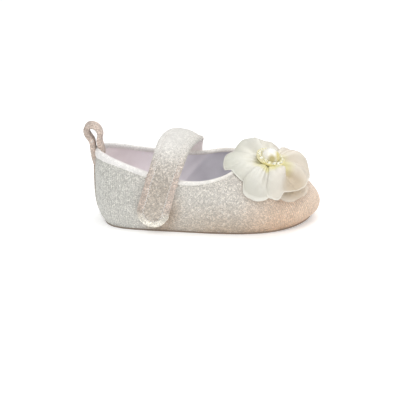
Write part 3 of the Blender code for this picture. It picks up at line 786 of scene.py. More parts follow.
# %% [markdown]
# ## Upper
# The upper is glitter cloth with a lining, sewn together at the collar. Each is a closed wall: a grid whose
# long side goes round the shoe and whose short side goes up the outer face, over the top, down the inner
# face and back under the hem. The glitter cloth's hem is lasted a little way over the sole's edge.

# %% Glitter cloth of the upper
ROW_CROWDING = 1.2
HEM_SHARE = 0.05
HEM = 0.0013
HEM_TUCK = 0.0003
HEM_DEPTH = 0.00040
CLOTH_DEPTH = 0.0008
TURN_SHARE = 0.01


def cloth_frame(share, rise, depth):
    """A point of the upper's cloth and the way out: rise 0 is the hem over the sole, 1 the collar."""
    if rise >= HEM_SHARE:
        up = ((rise - HEM_SHARE) / (1 - HEM_SHARE)) ** ROW_CROWDING
        spot, out, _ = wall_frame(share, up)
        return spot - out * depth, out
    under = 1 - rise / HEM_SHARE
    out = Vector((*outward(share), 0.0))
    lower = Vector((0, 0, HEM * under)) + out * HEM_TUCK * under
    return wall(share, 0.0) - lower - out * min(depth, HEM_DEPTH), out


def around_wall(v, outer, inner):
    """The rise and depth at v of the way round a wall's section."""
    places = (0.0, 0.5 - TURN_SHARE, 0.5 + TURN_SHARE, 1 - TURN_SHARE, 1.0)
    rise = np.interp(v, places, (0, 1, 1, 0, 0))
    return float(rise), float(np.interp(v, places, (outer, outer, inner, inner, outer)))


def cloth_shape(u, v):
    rise, depth = around_wall(v, 0.0, CLOTH_DEPTH)
    spot, out = cloth_frame(u, rise, depth)
    return spot + out * cloth_relief(spot, u)


WALL_LENGTH = 0.040
upper_cloth = add_piece(
    "upper_cloth", shaped_grid(400, 100, cloth_shape, (PERIMETER, 2 * WALL_LENGTH)),
    UPPER_FINISH, "glitter_satin", "upper",
)

# %% Lining of the upper
WALL_DEPTH = 0.0016
LINING_GAP = 0.0001
LINING_TOP = 0.99
LINING_WAVE, LINING_WAVES_PER_METRE = 0.0002, 70.0
LINING_CREASES = (
    Crease(0.0515, 0.0180, 0.0260, 0.0016, 52, 0.00060),
    Crease(0.0490, 0.0190, 0.0240, 0.0020, 52, -0.00045),
    Crease(0.0650, 0.0170, 0.0200, 0.0022, 64, 0.00030),
    Crease(0.0280, 0.0200, 0.0200, 0.0026, 40, 0.00030),
)


def lining_shape(u, v):
    rise, depth = around_wall(v, CLOTH_DEPTH + LINING_GAP, WALL_DEPTH)
    spot, out, _ = wall_frame(u, rise**ROW_CROWDING * LINING_TOP)
    creases = crease_depth(LINING_CREASES, spot.x + MIDDLE_X, spot.z) if spot.y > 0 else 0.0
    relief = creases + LINING_WAVE * noise.noise(spot * LINING_WAVES_PER_METRE) if v > 0.5 else 0.0
    return spot - out * (depth + relief)


upper_lining = add_piece(
    "upper_lining", shaped_grid(300, 100, lining_shape, (PERIMETER, 2 * WALL_LENGTH)), LINING, "lining",
)

# %% [markdown]
# ## Collar binding
# The collar ends in a soft rolled edge, about 4 mm high at the heel and 2 mm over the vamp. It is a tube
# that follows the collar: a grid whose short side goes round an oval section and whose long side goes round
# the shoe. Small swellings, as thread pulls make, keep it from looking like a pipe.

# %% Collar binding
BINDING_HEEL = 0.0025
BINDING_FRONT = 0.0011
BINDING_HALF_WIDTH = 0.0013
BINDING_DROP_SHARE = 0.72
BINDING_GIRTH = 0.009
FRONT_POWER = 0.6
PULL, PULL_LENGTH = 0.06, 0.0040


def binding_shape(u, v):
    top, out, rise = wall_frame(u, 1.0)
    front = (0.5 - 0.5 * math.cos(2 * math.pi * u)) ** FRONT_POWER
    half = BINDING_HEEL + (BINDING_FRONT - BINDING_HEEL) * front
    middle = top - rise * half * BINDING_DROP_SHARE - out * WALL_DEPTH / 2
    turn = 2 * math.pi * v
    pull = 1 + PULL * ring_noise(u, PULL_LENGTH, 2.0)
    return middle + (out * math.cos(turn) * BINDING_HALF_WIDTH + rise * math.sin(turn) * half) * pull


collar_binding = add_piece(
    "collar_binding", shaped_grid(360, 20, binding_shape, (PERIMETER, BINDING_GIRTH)),
    BINDING_FINISH, "glitter_satin",
)

# %% [markdown]
# ## Sole and sock
# Both are plates with the outline of the feather line. A grid runs from heel to toe and from the lateral to
# the medial side, and at heel and toe its rows shrink to a point. The solidify operator gives it thickness,
# and a Bevel modifier takes the sharpness off its rim.

# %% Sole and sock
SOLE_INSET = 0.0005
SOCK_INSET = 0.0010
SOCK_THICKNESS = 0.0012
SOCK_DOME = 0.0004
SOCK_LOW = SOLE_THICKNESS + GAP
RIM_SHARE = 0.3


def plate_shape(inset, low, dome):
    def shape(u, v):
        ends = []
        for share in (TOE_SHARE * u, 1 - (1 - TOE_SHARE) * u):
            out_x, out_y = outward(share)
            x, y = last_row(share)[:2]
            ends.append(Vector((x - inset * out_x, y - inset * out_y)))
        spot = ends[0].lerp(ends[1], v)
        rise = dome * math.sin(math.pi * v) * math.sin(math.pi * u) ** 0.5
        return Vector((spot.x - MIDDLE_X, spot.y, low + spring(spot.x) + rise))
    return shape


def add_plate(name, inset, low, thickness, dome, finish, slot, node):
    made = shaped_grid(140, 28, plate_shape(inset, low, dome), (LENGTH, BALL_WIDTH))
    bmesh.ops.recalc_face_normals(made, faces=made.faces)
    if sum(face.normal.z for face in made.faces) > 0:
        bmesh.ops.reverse_faces(made, faces=made.faces)
    bmesh.ops.solidify(made, geom=made.faces[:], thickness=thickness)
    plate = add_piece(name, made, finish, slot, node)
    rim = plate.modifiers.new("rim", "BEVEL")
    rim.width = RIM_SHARE * thickness
    rim.segments = 2
    rim.limit_method = "ANGLE"
    rim.angle_limit = math.radians(50)
    return plate


outsole_plate = add_plate(
    "outsole_plate", SOLE_INSET, 0.0, SOLE_THICKNESS, 0.0, SOLE, "sole_cloth", "outsole"
)
add_plate("insole_sock", SOCK_INSET, SOCK_LOW, SOCK_THICKNESS, SOCK_DOME, LINING, "lining", "insole")
heights = [vert.co.z * MM for vert in outsole_plate.data.vertices]
print(f"sole from {min(heights):.2f} to {max(heights):.2f} mm")

# %% [markdown]
# ## Bands
# The strap, the pull loop and the tape over the back seam are all bands: long lines, or fibres, side by
# side. A band is found by asking for its fibres one by one, spacing the points of each evenly, and taking
# the way out from the directions along and across. Its mesh is a grid that goes over the top face and back
# along the underside; the two meet in a round edge, so the band is closed all round.

# %% Band helpers
Band = namedtuple("Band", "across spots out lengths half round_end")


def even_points(points, rows):
    """The points of a fibre, spaced evenly along it, and its length."""
    line = np.array([tuple(point) for point in points])
    run = np.concatenate([[0.0], np.cumsum(np.linalg.norm(np.diff(line, axis=0), axis=1))])
    places = np.linspace(0.0, run[-1], rows + 1)
    return np.stack([np.interp(places, run, line[:, axis]) for axis in range(3)], axis=1), float(run[-1])


def smooth_lines(spots, rounds):
    """Each inner point moved towards the middle of its two neighbours along the fibre."""
    for _ in range(rounds):
        spots[:, 1:-1] = 0.5 * spots[:, 1:-1] + 0.25 * (spots[:, :-2] + spots[:, 2:])
    return spots


def make_band(fibre, rows, columns, half, rounds, round_end=False):
    across = -np.cos(math.pi * np.arange(columns + 1) / columns)
    lines = [even_points(fibre(float(a)), rows) for a in across]
    spots = smooth_lines(np.array([line for line, _ in lines]), rounds)
    out = np.cross(np.gradient(spots, axis=1), np.gradient(spots, axis=0))
    out /= np.linalg.norm(out, axis=2, keepdims=True)
    return Band(across, spots, out, [length for _, length in lines], half, round_end)


def edge_distance(band, column, share):
    """How far a point of the band is from its nearest edge. A round end is a half circle."""
    across, length = band.across[column], band.lengths[column]
    side = band.half * (1 - abs(across))
    start, end = share * length, (1 - share) * length
    if band.round_end:
        end += band.half * (1 - math.sqrt(1 - across**2))
        if end < band.half:
            side = band.half - math.hypot(across * band.half, band.half - end)
        end = side
    return max(0.0, min(side, start, end))


def band_mesh(band, low, high, edge, relief=None):
    """A closed band from low to high over its fibres, with an edge rounded over that length.
    Relief is a function of a spot, its edge distance and its length along, for the top face."""
    columns, rows = len(band.across) - 1, band.spots.shape[1] - 1

    def indexes(u, v):
        step = round(v * 2 * columns)
        return (step if step <= columns else 2 * columns - step), round(u * rows), step < columns

    def shape(u, v):
        column, row, top = indexes(u, v)
        spot, out = Vector(band.spots[column, row]), Vector(band.out[column, row])
        rim = edge_distance(band, column, u)
        full = math.sqrt(max(0.0, 1 - max(0.0, 1 - rim / edge) ** 2))
        height = (low + high) / 2 + (1 if top else -1) * full * (high - low) / 2
        if top and relief:
            height += full * relief(spot, rim, u * band.lengths[column])
        return spot + out * height

    def mark(u, v):
        return edge_distance(band, indexes(u, v)[0], u)

    return shaped_grid(rows, 2 * columns, shape, (max(band.lengths), 4 * band.half), mark)


print("band helpers ready")

# %% [markdown]
# ## Strap
# The strap is sewn to the medial wall, arches over the instep and is fastened down the lateral wall. It
# is widest at its rounded end and narrows towards its sewn one. Its fibres are found by casting rays at
# the upper for the two ends and by half an ellipse for the arch between. On top, the cloth is puffed into
# a stitched border round a lower, lumpy panel. The underside is lined with its own pinker satin.

# %% Fibres of the strap
STRAP_HALF, STRAP_WAIST_HALF, STRAP_MEDIAL_HALF = 0.0078, 0.0074, 0.0062
STRAP_RISE, STRAP_BANK, STRAP_CROWN = 0.0150, 0.0022, 0.0028
STRAP_LAP = 0.0110
STRAP_TIP_HEIGHT = 0.0042
STRAP_TIP_X, STRAP_LATERAL_X, STRAP_MEDIAL_X = 0.0281, 0.0358, 0.0490
SWEEP_PLACES = (0.0, 0.30, 0.46, 0.55, 0.65, 0.77, 1.0)
SWEEP_SHARES = (0.0, 0.03, 0.34, 0.52, 0.67, 0.79, 1.0)
STRAP_LEAN = (STRAP_LATERAL_X - STRAP_TIP_X) / (collar_height(STRAP_LATERAL_X, -1) - STRAP_TIP_HEIGHT)
WIDEST_HEIGHT = 0.0090
FAR = 0.2
upper_faces = surface_of(upper_cloth, collar_binding)


def touch(tree, start, towards):
    """The first point of a surface met from start."""
    return tree.ray_cast(Vector(start), Vector(towards))[0]


def sweep(share):
    """How far the strap has moved back on its way over the arch, from 0 at the medial to 1 at the lateral
    collar. Most of it is near the crest."""
    return float(np.interp(share, SWEEP_PLACES, SWEEP_SHARES))


def strap_fibre(across):
    """One line of the strap's underside, from the medial lap to the lateral tip. Across is -1 on the
    heel side and 1 on the toe side."""
    medial_x = STRAP_MEDIAL_X + across * STRAP_MEDIAL_HALF
    lateral_x = STRAP_LATERAL_X + across * STRAP_WAIST_HALF
    medial_top, lateral_top = collar_height(medial_x, 1), collar_height(lateral_x, -1)
    points = []
    for z in np.linspace(medial_top - STRAP_LAP, medial_top - WALL_DEPTH, 8):
        hit = touch(upper_faces, (medial_x - MIDDLE_X, FAR, z), (0, -1, 0))
        points.append(Vector((medial_x, hit.y, z)))
    foot = touch(upper_faces, (lateral_x - MIDDLE_X, -FAR, lateral_top - WALL_DEPTH), (0, 1, 0)).y
    middle, spread = (points[-1].y + foot) / 2, (points[-1].y - foot) / 2
    rise = STRAP_RISE - across * STRAP_BANK - across**2 * STRAP_CROWN
    for share in np.linspace(0, 1, 41):
        points.append(Vector((
            medial_x + (lateral_x - medial_x) * sweep(share),
            middle + spread * math.cos(math.pi * share),
            medial_top + (lateral_top - medial_top) * share + rise * math.sin(math.pi * share),
        )))
    tip = STRAP_TIP_HEIGHT + STRAP_HALF * (1 - math.sqrt(1 - across**2)) - across * STRAP_HALF * STRAP_LEAN
    for z in np.linspace(lateral_top, tip, 41)[1:]:
        drop = lateral_top - z
        widened = across * (STRAP_HALF - STRAP_WAIST_HALF) * drop / (lateral_top - tip)
        x = lateral_x - drop * STRAP_LEAN + widened
        hit = touch(upper_faces, (x - MIDDLE_X, -FAR, max(z, WIDEST_HEIGHT)), (0, 1, 0))
        points.append(Vector((x, hit.y, z)))
    return [point - Vector((MIDDLE_X, 0, 0)) for point in points]


strap_band = make_band(strap_fibre, 260, 32, STRAP_HALF, 12, round_end=True)
print(f"strap {np.mean(strap_band.lengths) * MM:.0f} mm long, {2 * STRAP_HALF * MM:.1f} mm wide at its tip")

# %% Strap cloth and its lining
STRAP_PANEL, STRAP_BORDER = 0.0017, 0.0006
STRAP_SEAT, STRAP_LINING = 0.00025, 0.0006
PUFF_POWER = 0.8
PUCKER, PUCKER_DEPTH = 0.0019, 0.00022
GROOVE_DEPTH, GROOVE_WIDTH = 0.00040, 0.00045
LUMP_DEPTH, LUMPS_PER_METRE = 0.00016, 700.0
WORN_FROM, WORN_SPAN, WORN_SHARE = 0.034, 0.010, 0.6


def strap_relief(spot, rim, along):
    """A puffed border with puckers, a groove at its stitches, and lumps on the panel, all lower on the
    worn top."""
    puff = math.sin(math.pi * min(1.0, rim / BORDER)) ** PUFF_POWER
    pucker = PUCKER_DEPTH * math.cos(2 * math.pi * along / PUCKER) * puff
    groove = -GROOVE_DEPTH * math.exp(-(((rim - BORDER) / GROOVE_WIDTH) ** 2))
    lumps = LUMP_DEPTH * noise.noise(spot * LUMPS_PER_METRE) if rim > BORDER else 0.0
    worn_smooth = 1 - WORN_SHARE * min(1.0, max(0.0, (spot.z - WORN_FROM) / WORN_SPAN))
    return (STRAP_BORDER * puff + pucker + groove + lumps) * worn_smooth


add_piece(
    "strap_cloth", band_mesh(strap_band, STRAP_LINING, STRAP_PANEL, edge=0.0008, relief=strap_relief),
    STRAP_FINISH, "strap_satin", "strap",
)
add_piece(
    "strap_lining", band_mesh(strap_band, STRAP_SEAT, STRAP_LINING, edge=0.0003), UNDERSIDE, "lining",
)

# %% [markdown]
# ## Pull loop and back seam
# A strip of tape is folded into a loop and sewn astride the collar at the heel, so that the shoe can be
# pulled on. Below it a narrow tape covers the back seam. Both are bands like the strap.

# %% Pull loop
LOOP_HALF = 0.0036
LOOP_HALF_THICKNESS = 0.0013
LOOP_CLEAR = 0.0014
LOOP_HEIGHT, LOOP_HALF_SPREAD, LOOP_LEAN = 0.0118, 0.0044, -0.0026
LOOP_PINCH, LOOP_PINCH_PLACE, LOOP_PINCH_SPAN = 0.0010, 0.25, 0.20
LOOP_PRESSED = -0.0006
LOOP_BELLY, LOOP_BELLY_POWER, LOOP_SHOULDER_POWER = 1.6, 1.2, 0.8
LOOP_OUTER_LAP, LOOP_INNER_LAP = 0.0085, 0.0065
LOOP_REACH = 0.020
SELVEDGE, SELVEDGE_PLACE, SELVEDGE_SPAN = 0.00018, 0.0010, 0.0006
HEEL_TOP = wall(0.0, 1.0)
wall_faces = surface_of(upper_cloth, upper_lining)


def loop_outer(y, z):
    """Place of the outer end, which is pressed flat towards its foot, where it is sewn down."""
    clear = np.interp(HEEL_TOP.z - z, (WALL_DEPTH, LOOP_OUTER_LAP), (LOOP_CLEAR, LOOP_PRESSED))
    return touch(wall_faces, (-FAR, y, z), (1, 0, 0)).x - float(clear)


def loop_inner(y, z):
    return touch(wall_faces, (HEEL_TOP.x + LOOP_REACH, y, z), (-1, 0, 0)).x + LOOP_CLEAR


def loop_fibre(across):
    """One line of the loop: up the outside of the heel, round the bow and down the inside."""
    y = across * LOOP_HALF
    foot = HEEL_TOP.z - WALL_DEPTH
    outside, inside = loop_outer(0.0, foot), loop_inner(0.0, foot)
    middle, spread = (outside + inside) / 2, (inside - outside) / 2
    points = [Vector((loop_outer(y, z), y, z)) for z in np.linspace(HEEL_TOP.z - LOOP_OUTER_LAP, foot, 7)]
    for turn in np.linspace(0, math.pi, 49):
        lift = max(0.0, math.sin(turn))
        belly = LOOP_BELLY * (LOOP_HALF_SPREAD - spread) * lift**LOOP_BELLY_POWER
        belly -= LOOP_PINCH * math.exp(-(((lift - LOOP_PINCH_PLACE) / LOOP_PINCH_SPAN) ** 2))
        x = middle - (spread + belly) * math.cos(turn) + LOOP_LEAN * lift
        points.append(Vector((x, y, HEEL_TOP.z + LOOP_HEIGHT * lift**LOOP_SHOULDER_POWER)))
    lap = np.linspace(foot, HEEL_TOP.z - LOOP_INNER_LAP, 6)
    return points + [Vector((loop_inner(y, z), y, z)) for z in lap]


def selvedge(spot, rim, along):
    """A slightly thicker line near the edges of the tape."""
    return SELVEDGE * math.exp(-(((rim - SELVEDGE_PLACE) / SELVEDGE_SPAN) ** 2))


loop_band = make_band(loop_fibre, 120, 16, LOOP_HALF, 4)
add_piece(
    "pull_loop_tape",
    band_mesh(loop_band, -LOOP_HALF_THICKNESS, LOOP_HALF_THICKNESS, edge=0.0009, relief=selvedge),
    TAPE_FINISH, "strap_satin", "pull_loop",
)

# %% Back seam tape
SEAM_HALF = 0.0021
SEAM_LOW, SEAM_HIGH = -0.0001, 0.0008
SEAM_FOOT, SEAM_TUCK = 0.0045, 0.001
SEAM_TOP = HEEL_TOP.z - LOOP_OUTER_LAP + SEAM_TUCK


def seam_fibre(across):
    """One line of the seam tape, from its foot up to the loop."""
    y = across * SEAM_HALF
    return [touch(wall_faces, (-FAR, y, z), (1, 0, 0)) for z in np.linspace(SEAM_FOOT, SEAM_TOP, 24)]


seam_band = make_band(seam_fibre, 60, 10, SEAM_HALF, 4)
add_piece(
    "back_seam_tape", band_mesh(seam_band, SEAM_LOW, SEAM_HIGH, edge=0.0007),
    TAPE_FINISH, "glitter_satin", "back_seam",
)

# %% [markdown]
# ## Stitches
# The strap's border is held by a zigzag of cream thread. Each stitch is a small ball from create_icosphere,
# drawn out along its thread by a matrix, and all of the row are made in one mesh.

# %% Stitches of the strap
STITCH_THICKNESS = 0.00022
ZIGZAG_STEP = 0.0010
ZIGZAG_HALF = 0.00055


def add_stitch(made, start, end, out):
    """A stitch from start to end: a ball stretched along it, half sunk in the cloth."""
    along = end - start
    side = out.cross(along).normalized()
    axes = Matrix((along / 2, side * STITCH_THICKNESS, out * STITCH_THICKNESS)).transposed()
    place = Matrix.Translation((start + end) / 2) @ axes.to_4x4()
    bmesh.ops.create_icosphere(made, subdivisions=1, radius=1.0, matrix=place, calc_uvs=True)


def band_spot(band, share, across):
    """A point of the band's fibres between its columns, and the way out there."""
    columns, rows = len(band.across) - 1, band.spots.shape[1] - 1
    column = math.acos(-max(-1.0, min(1.0, across))) / math.pi * columns
    k, i = min(int(column), columns - 1), round(min(1.0, max(0.0, share)) * rows)
    t = column - k
    spot = band.spots[k, i] * (1 - t) + band.spots[k + 1, i] * t
    out = band.out[k, i] * (1 - t) + band.out[k + 1, i] * t
    return Vector(spot), Vector(out).normalized()


strap_length = float(np.mean(strap_band.lengths))
side_run = strap_length - STRAP_HALF - BORDER
tip_run = math.pi * (STRAP_HALF - BORDER)
stitch_count = int((2 * side_run + tip_run) / ZIGZAG_STEP)
zigzag = []
for i in range(stitch_count + 1):
    run = (2 * side_run + tip_run) * i / stitch_count
    reach = STRAP_HALF - BORDER + (ZIGZAG_HALF if i % 2 else -ZIGZAG_HALF)
    turn = min(1.0, max(0.0, (run - side_run) / tip_run)) * math.pi
    across = -reach * math.cos(turn) / STRAP_HALF
    from_tip = STRAP_HALF - reach * math.sin(turn) + max(0.0, side_run - run, run - side_run - tip_run)
    end_gap = STRAP_HALF * (1 - math.sqrt(1 - across**2))
    spot, out = band_spot(strap_band, 1 - (from_tip - end_gap) / strap_length, across)
    zigzag.append((spot + out * STRAP_PANEL, out))
strap_stitches = bmesh.new()
strap_stitches.loops.layers.uv.new("UVMap")
for (start, out), (end, _) in zip(zigzag, zigzag[1:]):
    add_stitch(strap_stitches, start, end, out)
add_piece("strap_stitches", strap_stitches, THREAD, "strap_satin")

# %% [markdown]
# ## Organza
# The flower is made of organza, a thin stiff open weave that the light shines through. The material is
# ivory, greener towards the heel and pinker towards the toe. Near the gold at its centre it carries a
# painted yellow reflection of the gold, and painted shade makes it darker in the open cup. It is thinner
# towards a petal's edge, with a denser hem, and the weave changes its opacity from thread to thread.

# %% Organza finish
FLOWER_X, FLOWER_Y = 0.0884, -0.0036
FLOWER_PITCH_DEG, FLOWER_ROLL_DEG, BROOCH_PITCH_DEG, BROOCH_ROLL_DEG = 12, 14, 4, -1
flower_root = touch(upper_faces, (FLOWER_X - MIDDLE_X, FLOWER_Y, FAR), (0, 0, -1))
FLOWER = (
    Matrix.Translation(flower_root)
    @ Matrix.Rotation(math.radians(FLOWER_PITCH_DEG), 4, "Y")
    @ Matrix.Rotation(math.radians(FLOWER_ROLL_DEG), 4, "X")
)
FLOWER_ENDS = (0.010, 0.060)
ORGANZA_STOPS = (
    (0.00, linear(228, 229, 217)), (0.40, linear(241, 239, 230)), (0.70, linear(239, 229, 216)),
    (1.00, linear(241, 228, 210)),
)
PAINTED_GOLD_REFLECTION, PAINTED_GOLD_REFLECTION_MIDDLE = linear(237, 231, 180), FLOWER @ Vector((0.0022, -0.0055, 0.0038))
CUP_SHADE, CUP_MIDDLE = linear(216, 200, 175), FLOWER @ Vector((0.0120, -0.0150, 0.0))
CLOUDY, CLOUDY_SHARE = linear(232, 227, 211), 0.4
HEM_COLOUR, HEM_PLACES = linear(252, 250, 242), (0.965, 0.990)
HEM_WHITE, HEM_DENSITY = 0.5, 0.18
THINNING = (0.45, 0.97, 0.94, 0.58)
WEAVE_DENSITY, WEAVE_ROUGHNESS = (0.90, 1.02), (0.65, 0.45)


def near_to(tree, place, middle, far, near, most):
    """A mask round a middle: 0 further off than far, and most where it is nearer than near."""
    apart = add_node(tree, "ShaderNodeVectorMath", {0: place, 1: middle}, operation="DISTANCE")
    return remap(tree, apart.outputs["Value"], far, near, 0.0, most)


def organza_finish():
    made, tree, shader = start_material("organza", Sheen_Weight=0.25, Sheen_Roughness=0.3)
    place, uv, axes = coordinates(tree)
    threads = place_group(tree, THREADS, uv, 2600.0)
    mottle = place_group(tree, MOTTLE, place, 110.0)
    base = colour_ramp(tree, remap(tree, axes[0], *FLOWER_ENDS), ORGANZA_STOPS)
    base = mix_colours(tree, calculate(tree, "MULTIPLY", mottle["Tone"], CLOUDY_SHARE), base, CLOUDY)
    # Painted reflection: yellow light from the gold, painted on the organza near the flower's centre.
    glow = near_to(tree, place, PAINTED_GOLD_REFLECTION_MIDDLE, far=0.0112, near=0.0060, most=0.95)
    base = mix_colours(tree, glow, base, PAINTED_GOLD_REFLECTION)
    # Painted shade: the organza is darker inside the open cup of the toe petal.
    shade = near_to(tree, place, CUP_MIDDLE, far=0.0100, near=0.0050, most=0.85)
    base = mix_colours(tree, shade, base, CUP_SHADE)
    mark = add_node(tree, "ShaderNodeAttribute", attribute_name="mark").outputs["Fac"]
    hem = remap(tree, mark, *HEM_PLACES)
    base = mix_colours(tree, calculate(tree, "MULTIPLY", hem, HEM_WHITE), base, HEM_COLOUR)
    tree.links.new(base, shader.inputs["Base Color"])
    thick = remap(tree, mark, *THINNING)
    thick = calculate(tree, "ADD", thick, calculate(tree, "MULTIPLY", hem, HEM_DENSITY))
    weave = remap(tree, threads["Height"], 0.0, 1.0, *WEAVE_DENSITY)
    tree.links.new(calculate(tree, "MULTIPLY", thick, weave), shader.inputs["Alpha"])
    tree.links.new(remap(tree, threads["Height"], 0.0, 1.0, *WEAVE_ROUGHNESS), shader.inputs["Roughness"])
    relief = {"Height": threads["Height"], "Strength": 0.15, "Distance": 0.00005}
    tree.links.new(add_node(tree, "ShaderNodeBump", relief).outputs[0], shader.inputs["Normal"])
    return made


ORGANZA = organza_finish()
print("flower sewn on at", [round(c * MM, 1) for c in flower_root], "mm")

# %% [markdown]
# ## Petals
# Each petal is a strip of organza folded into a loop: it runs out along a lower layer and back along an
# upper one, and its root is gathered under the brooch. One table gives each petal's direction, spread,
# length and how it bends and sags. A second one gives the main folds, as ridges and troughs that fan out
# from the root; a fold can be steep on one side and slant across the petal. The petal towards the toe
# isn't closed at its tip: its upper layer is an open cup with a lip over a longer lower lobe. A last step
# lifts the cloth where it would sink into the shoe or below the collar's edge.

# %% Petal tables
Petal = namedtuple("Petal", "name turn_deg half_deg length slope droop twist puff tip_round sag open_cup")
PETALS = (
    Petal("petal_heel", 212, 44, 0.0247, -0.02, 0.0022, 0.03, 0.0012, 0.30, 0.0030, False),
    Petal("petal_throat", 117, 49, 0.0220, 0.05, 0.0022, 0.10, 0.0018, 0.28, 0.0074, False),
    Petal("petal_medial", 42, 20, 0.0205, 0.15, 0.0050, -0.18, 0.0024, 0.14, 0.0, False),
    Petal("petal_front", 6, 31, 0.0228, 0.14, 0.0072, 0.17, 0.0026, 0.14, 0.0, False),
    Petal("petal_toe", -57, 33, 0.0262, 0.08, 0.0085, 0.00, 0.0028, 0.08, 0.0, True),
    Petal("petal_lateral", 259, 20, 0.0280, 0.13, 0.0100, 0.04, 0.0030, 0.16, 0.0, False),
)
Fold = namedtuple("Fold", "across width height steep slant", defaults=(1.0, 0.0))
FOLDS = {
    "petal_heel": (Fold(-0.55, 0.28, 0.0005), Fold(0.00, 0.25, -0.0012), Fold(0.45, 0.25, 0.0010)),
    "petal_throat": (Fold(0.08, 0.15, 0.0030), Fold(-0.30, 0.22, -0.0026), Fold(0.50, 0.20, -0.0018)),
    "petal_medial": (Fold(-0.30, 0.25, 0.0010), Fold(0.40, 0.25, -0.0010)),
    "petal_front": (Fold(0.45, 0.25, 0.0022), Fold(-0.10, 0.20, -0.0024), Fold(-0.60, 0.22, 0.0018)),
    "petal_toe": (
        Fold(-0.11, 0.60, 0.0044, 0.25, -1.4), Fold(0.28, 0.32, -0.0046), Fold(0.85, 0.25, 0.0016),
    ),
    "petal_lateral": (Fold(0.80, 0.28, 0.0014), Fold(0.25, 0.35, -0.0014), Fold(-0.60, 0.35, 0.0008)),
}
print("petals:", [petal.name for petal in PETALS])

# %% Petal shapes
PETAL_ROOT, PETAL_ROOT_HEIGHT = 0.0038, 0.0019
PETAL_OPEN_SHARE, PETAL_ROOT_SPLIT = 0.04, 0.0005
PETAL_CUP, PETAL_PINCH = 0.35, 0.8
PETAL_OVERLAP = 1.10
GATHERS, GATHER_HEIGHT = 7, 0.00045
SAG_FROM, SAG_SPAN = 0.15, 0.6
RUFFLE, RUFFLE_TURN = 0.0006, 5.2
CRUMPLE, CRUMPLES_PER_METRE = 0.0020, 130.0
CRINKLE, CRINKLES_PER_METRE = 0.0007, 330.0
CREST = 0.3
EDGE_WAVE, EDGE_WAVES = 0.05, 2.2
BAND_REACH, BAND_PLACE, BAND_WIDTH = 0.20, -0.76, 0.30
LOBE_REACH, LOBE_CUT, CUP_REACH = 0.98, 0.10, 0.92
LOBE_SAG, LOBE_TURN, LOBE_MARK = 0.0018, 0.75, 0.955
LIP, LIP_FROM, LIP_SPAN = 0.0020, 0.75, 0.2
CUP_TURN, CUP_CROWDING = 0.8, 0.9
RIDGE_TURN, RIDGE_LATE = 0.85, 2.5


def fold_height(petal, share, across):
    """All folds of a petal: ridges grow towards its tip, troughs are deepest half way out."""
    total = 0.0
    for fold in FOLDS[petal.name]:
        turn, late = (RIDGE_TURN, RIDGE_LATE) if fold.height > 0 else (1.0, 1.0)
        grown = max(0.0, math.sin(math.pi * min(1.0, share) * turn)) ** late
        apart = across - fold.across - fold.slant * (share - 0.5)
        width = fold.width * (fold.steep if apart > 0 else 1.0)
        total += fold.height * grown * math.exp(-((apart / width) ** 2))
    return total


def petal_reach(petal, across):
    """How far the petal's edge is from the middle of the flower. The edge is slightly uneven."""
    wave = noise.noise(Vector((EDGE_WAVES * across, petal.turn_deg, 0.0)))
    return petal.length * (1 - petal.tip_round * across**2 + EDGE_WAVE * wave)


def petal_base(petal, radius, across):
    """A point of the petal's middle surface with its sag, gathers and crumples, and its share of the
    length."""
    share = radius / petal.length
    angle = across * math.radians(petal.half_deg) * PETAL_OVERLAP
    side = radius * math.sin(angle)
    height = PETAL_ROOT_HEIGHT + petal.slope * radius - petal.droop * share**4 + petal.twist * side
    hanging = min(1.0, max(0.0, (across - SAG_FROM) / SAG_SPAN))
    height -= petal.sag * share**2 * hanging**2 * (3 - 2 * hanging)
    height += GATHER_HEIGHT * math.cos(GATHERS * math.pi * across) * max(0.0, 1 - share)
    height += RUFFLE * math.sin(RUFFLE_TURN * across + petal.turn_deg) * share**3
    spot = Vector((radius, side, petal.turn_deg))
    height += CRUMPLE * (CREST - abs(noise.noise(spot * CRUMPLES_PER_METRE))) * share
    height += CRINKLE * (CREST - abs(noise.noise(spot * CRINKLES_PER_METRE))) * share
    return Vector((radius * math.cos(angle), side, height)), share


def loop_point(petal, step, across):
    """A closed loop: out along the lower layer, round the tip and back along the upper layer.
    Gives the point and how far out it is, from 0 at the root to 1 at the edge."""
    turn = 2 * math.pi * (PETAL_OPEN_SHARE + (1 - 2 * PETAL_OPEN_SHARE) * step)
    out = (1 - math.cos(turn)) / 2
    reach = petal_reach(petal, across)
    spot, share = petal_base(petal, PETAL_ROOT + (reach - PETAL_ROOT) * out, across)
    loft = -petal.puff * math.sin(turn) * out**PETAL_PINCH * (1 - PETAL_CUP * across**2)
    upper = (1 - math.sin(turn)) / 2
    split = -PETAL_ROOT_SPLIT * math.cos(turn / 2)
    spot.z += loft + split + fold_height(petal, share, across) * upper
    return spot, out


def cup_point(petal, step, across):
    """An open cup: from the tip of the lower lobe in to the root and out along the cup to its lip."""
    lower = step < 0.5
    out = abs(math.cos(math.pi * step)) ** CUP_CROWDING
    band = 1 + BAND_REACH * math.exp(-(((across - BAND_PLACE) / BAND_WIDTH) ** 4))
    lobe = LOBE_REACH - LOBE_CUT * max(0.0, -across)
    reach = petal_reach(petal, across) * (lobe if lower else CUP_REACH * band)
    spot, share = petal_base(petal, PETAL_ROOT + (reach - PETAL_ROOT) * out, across)
    if lower:
        spot.z -= LOBE_SAG * math.sin(math.pi * min(1.0, share) * LOBE_TURN)
    else:
        lip = max(0.0, (share - LIP_FROM) / LIP_SPAN) ** 2
        spot.z += petal.puff * math.sin(math.pi * out * CUP_TURN) + fold_height(petal, share, across)
        spot.z += LIP * lip * (1 - across**2)
    return spot, out * (LOBE_MARK if lower else 1.0)


print("overlap of neighbours:", PETAL_OVERLAP)

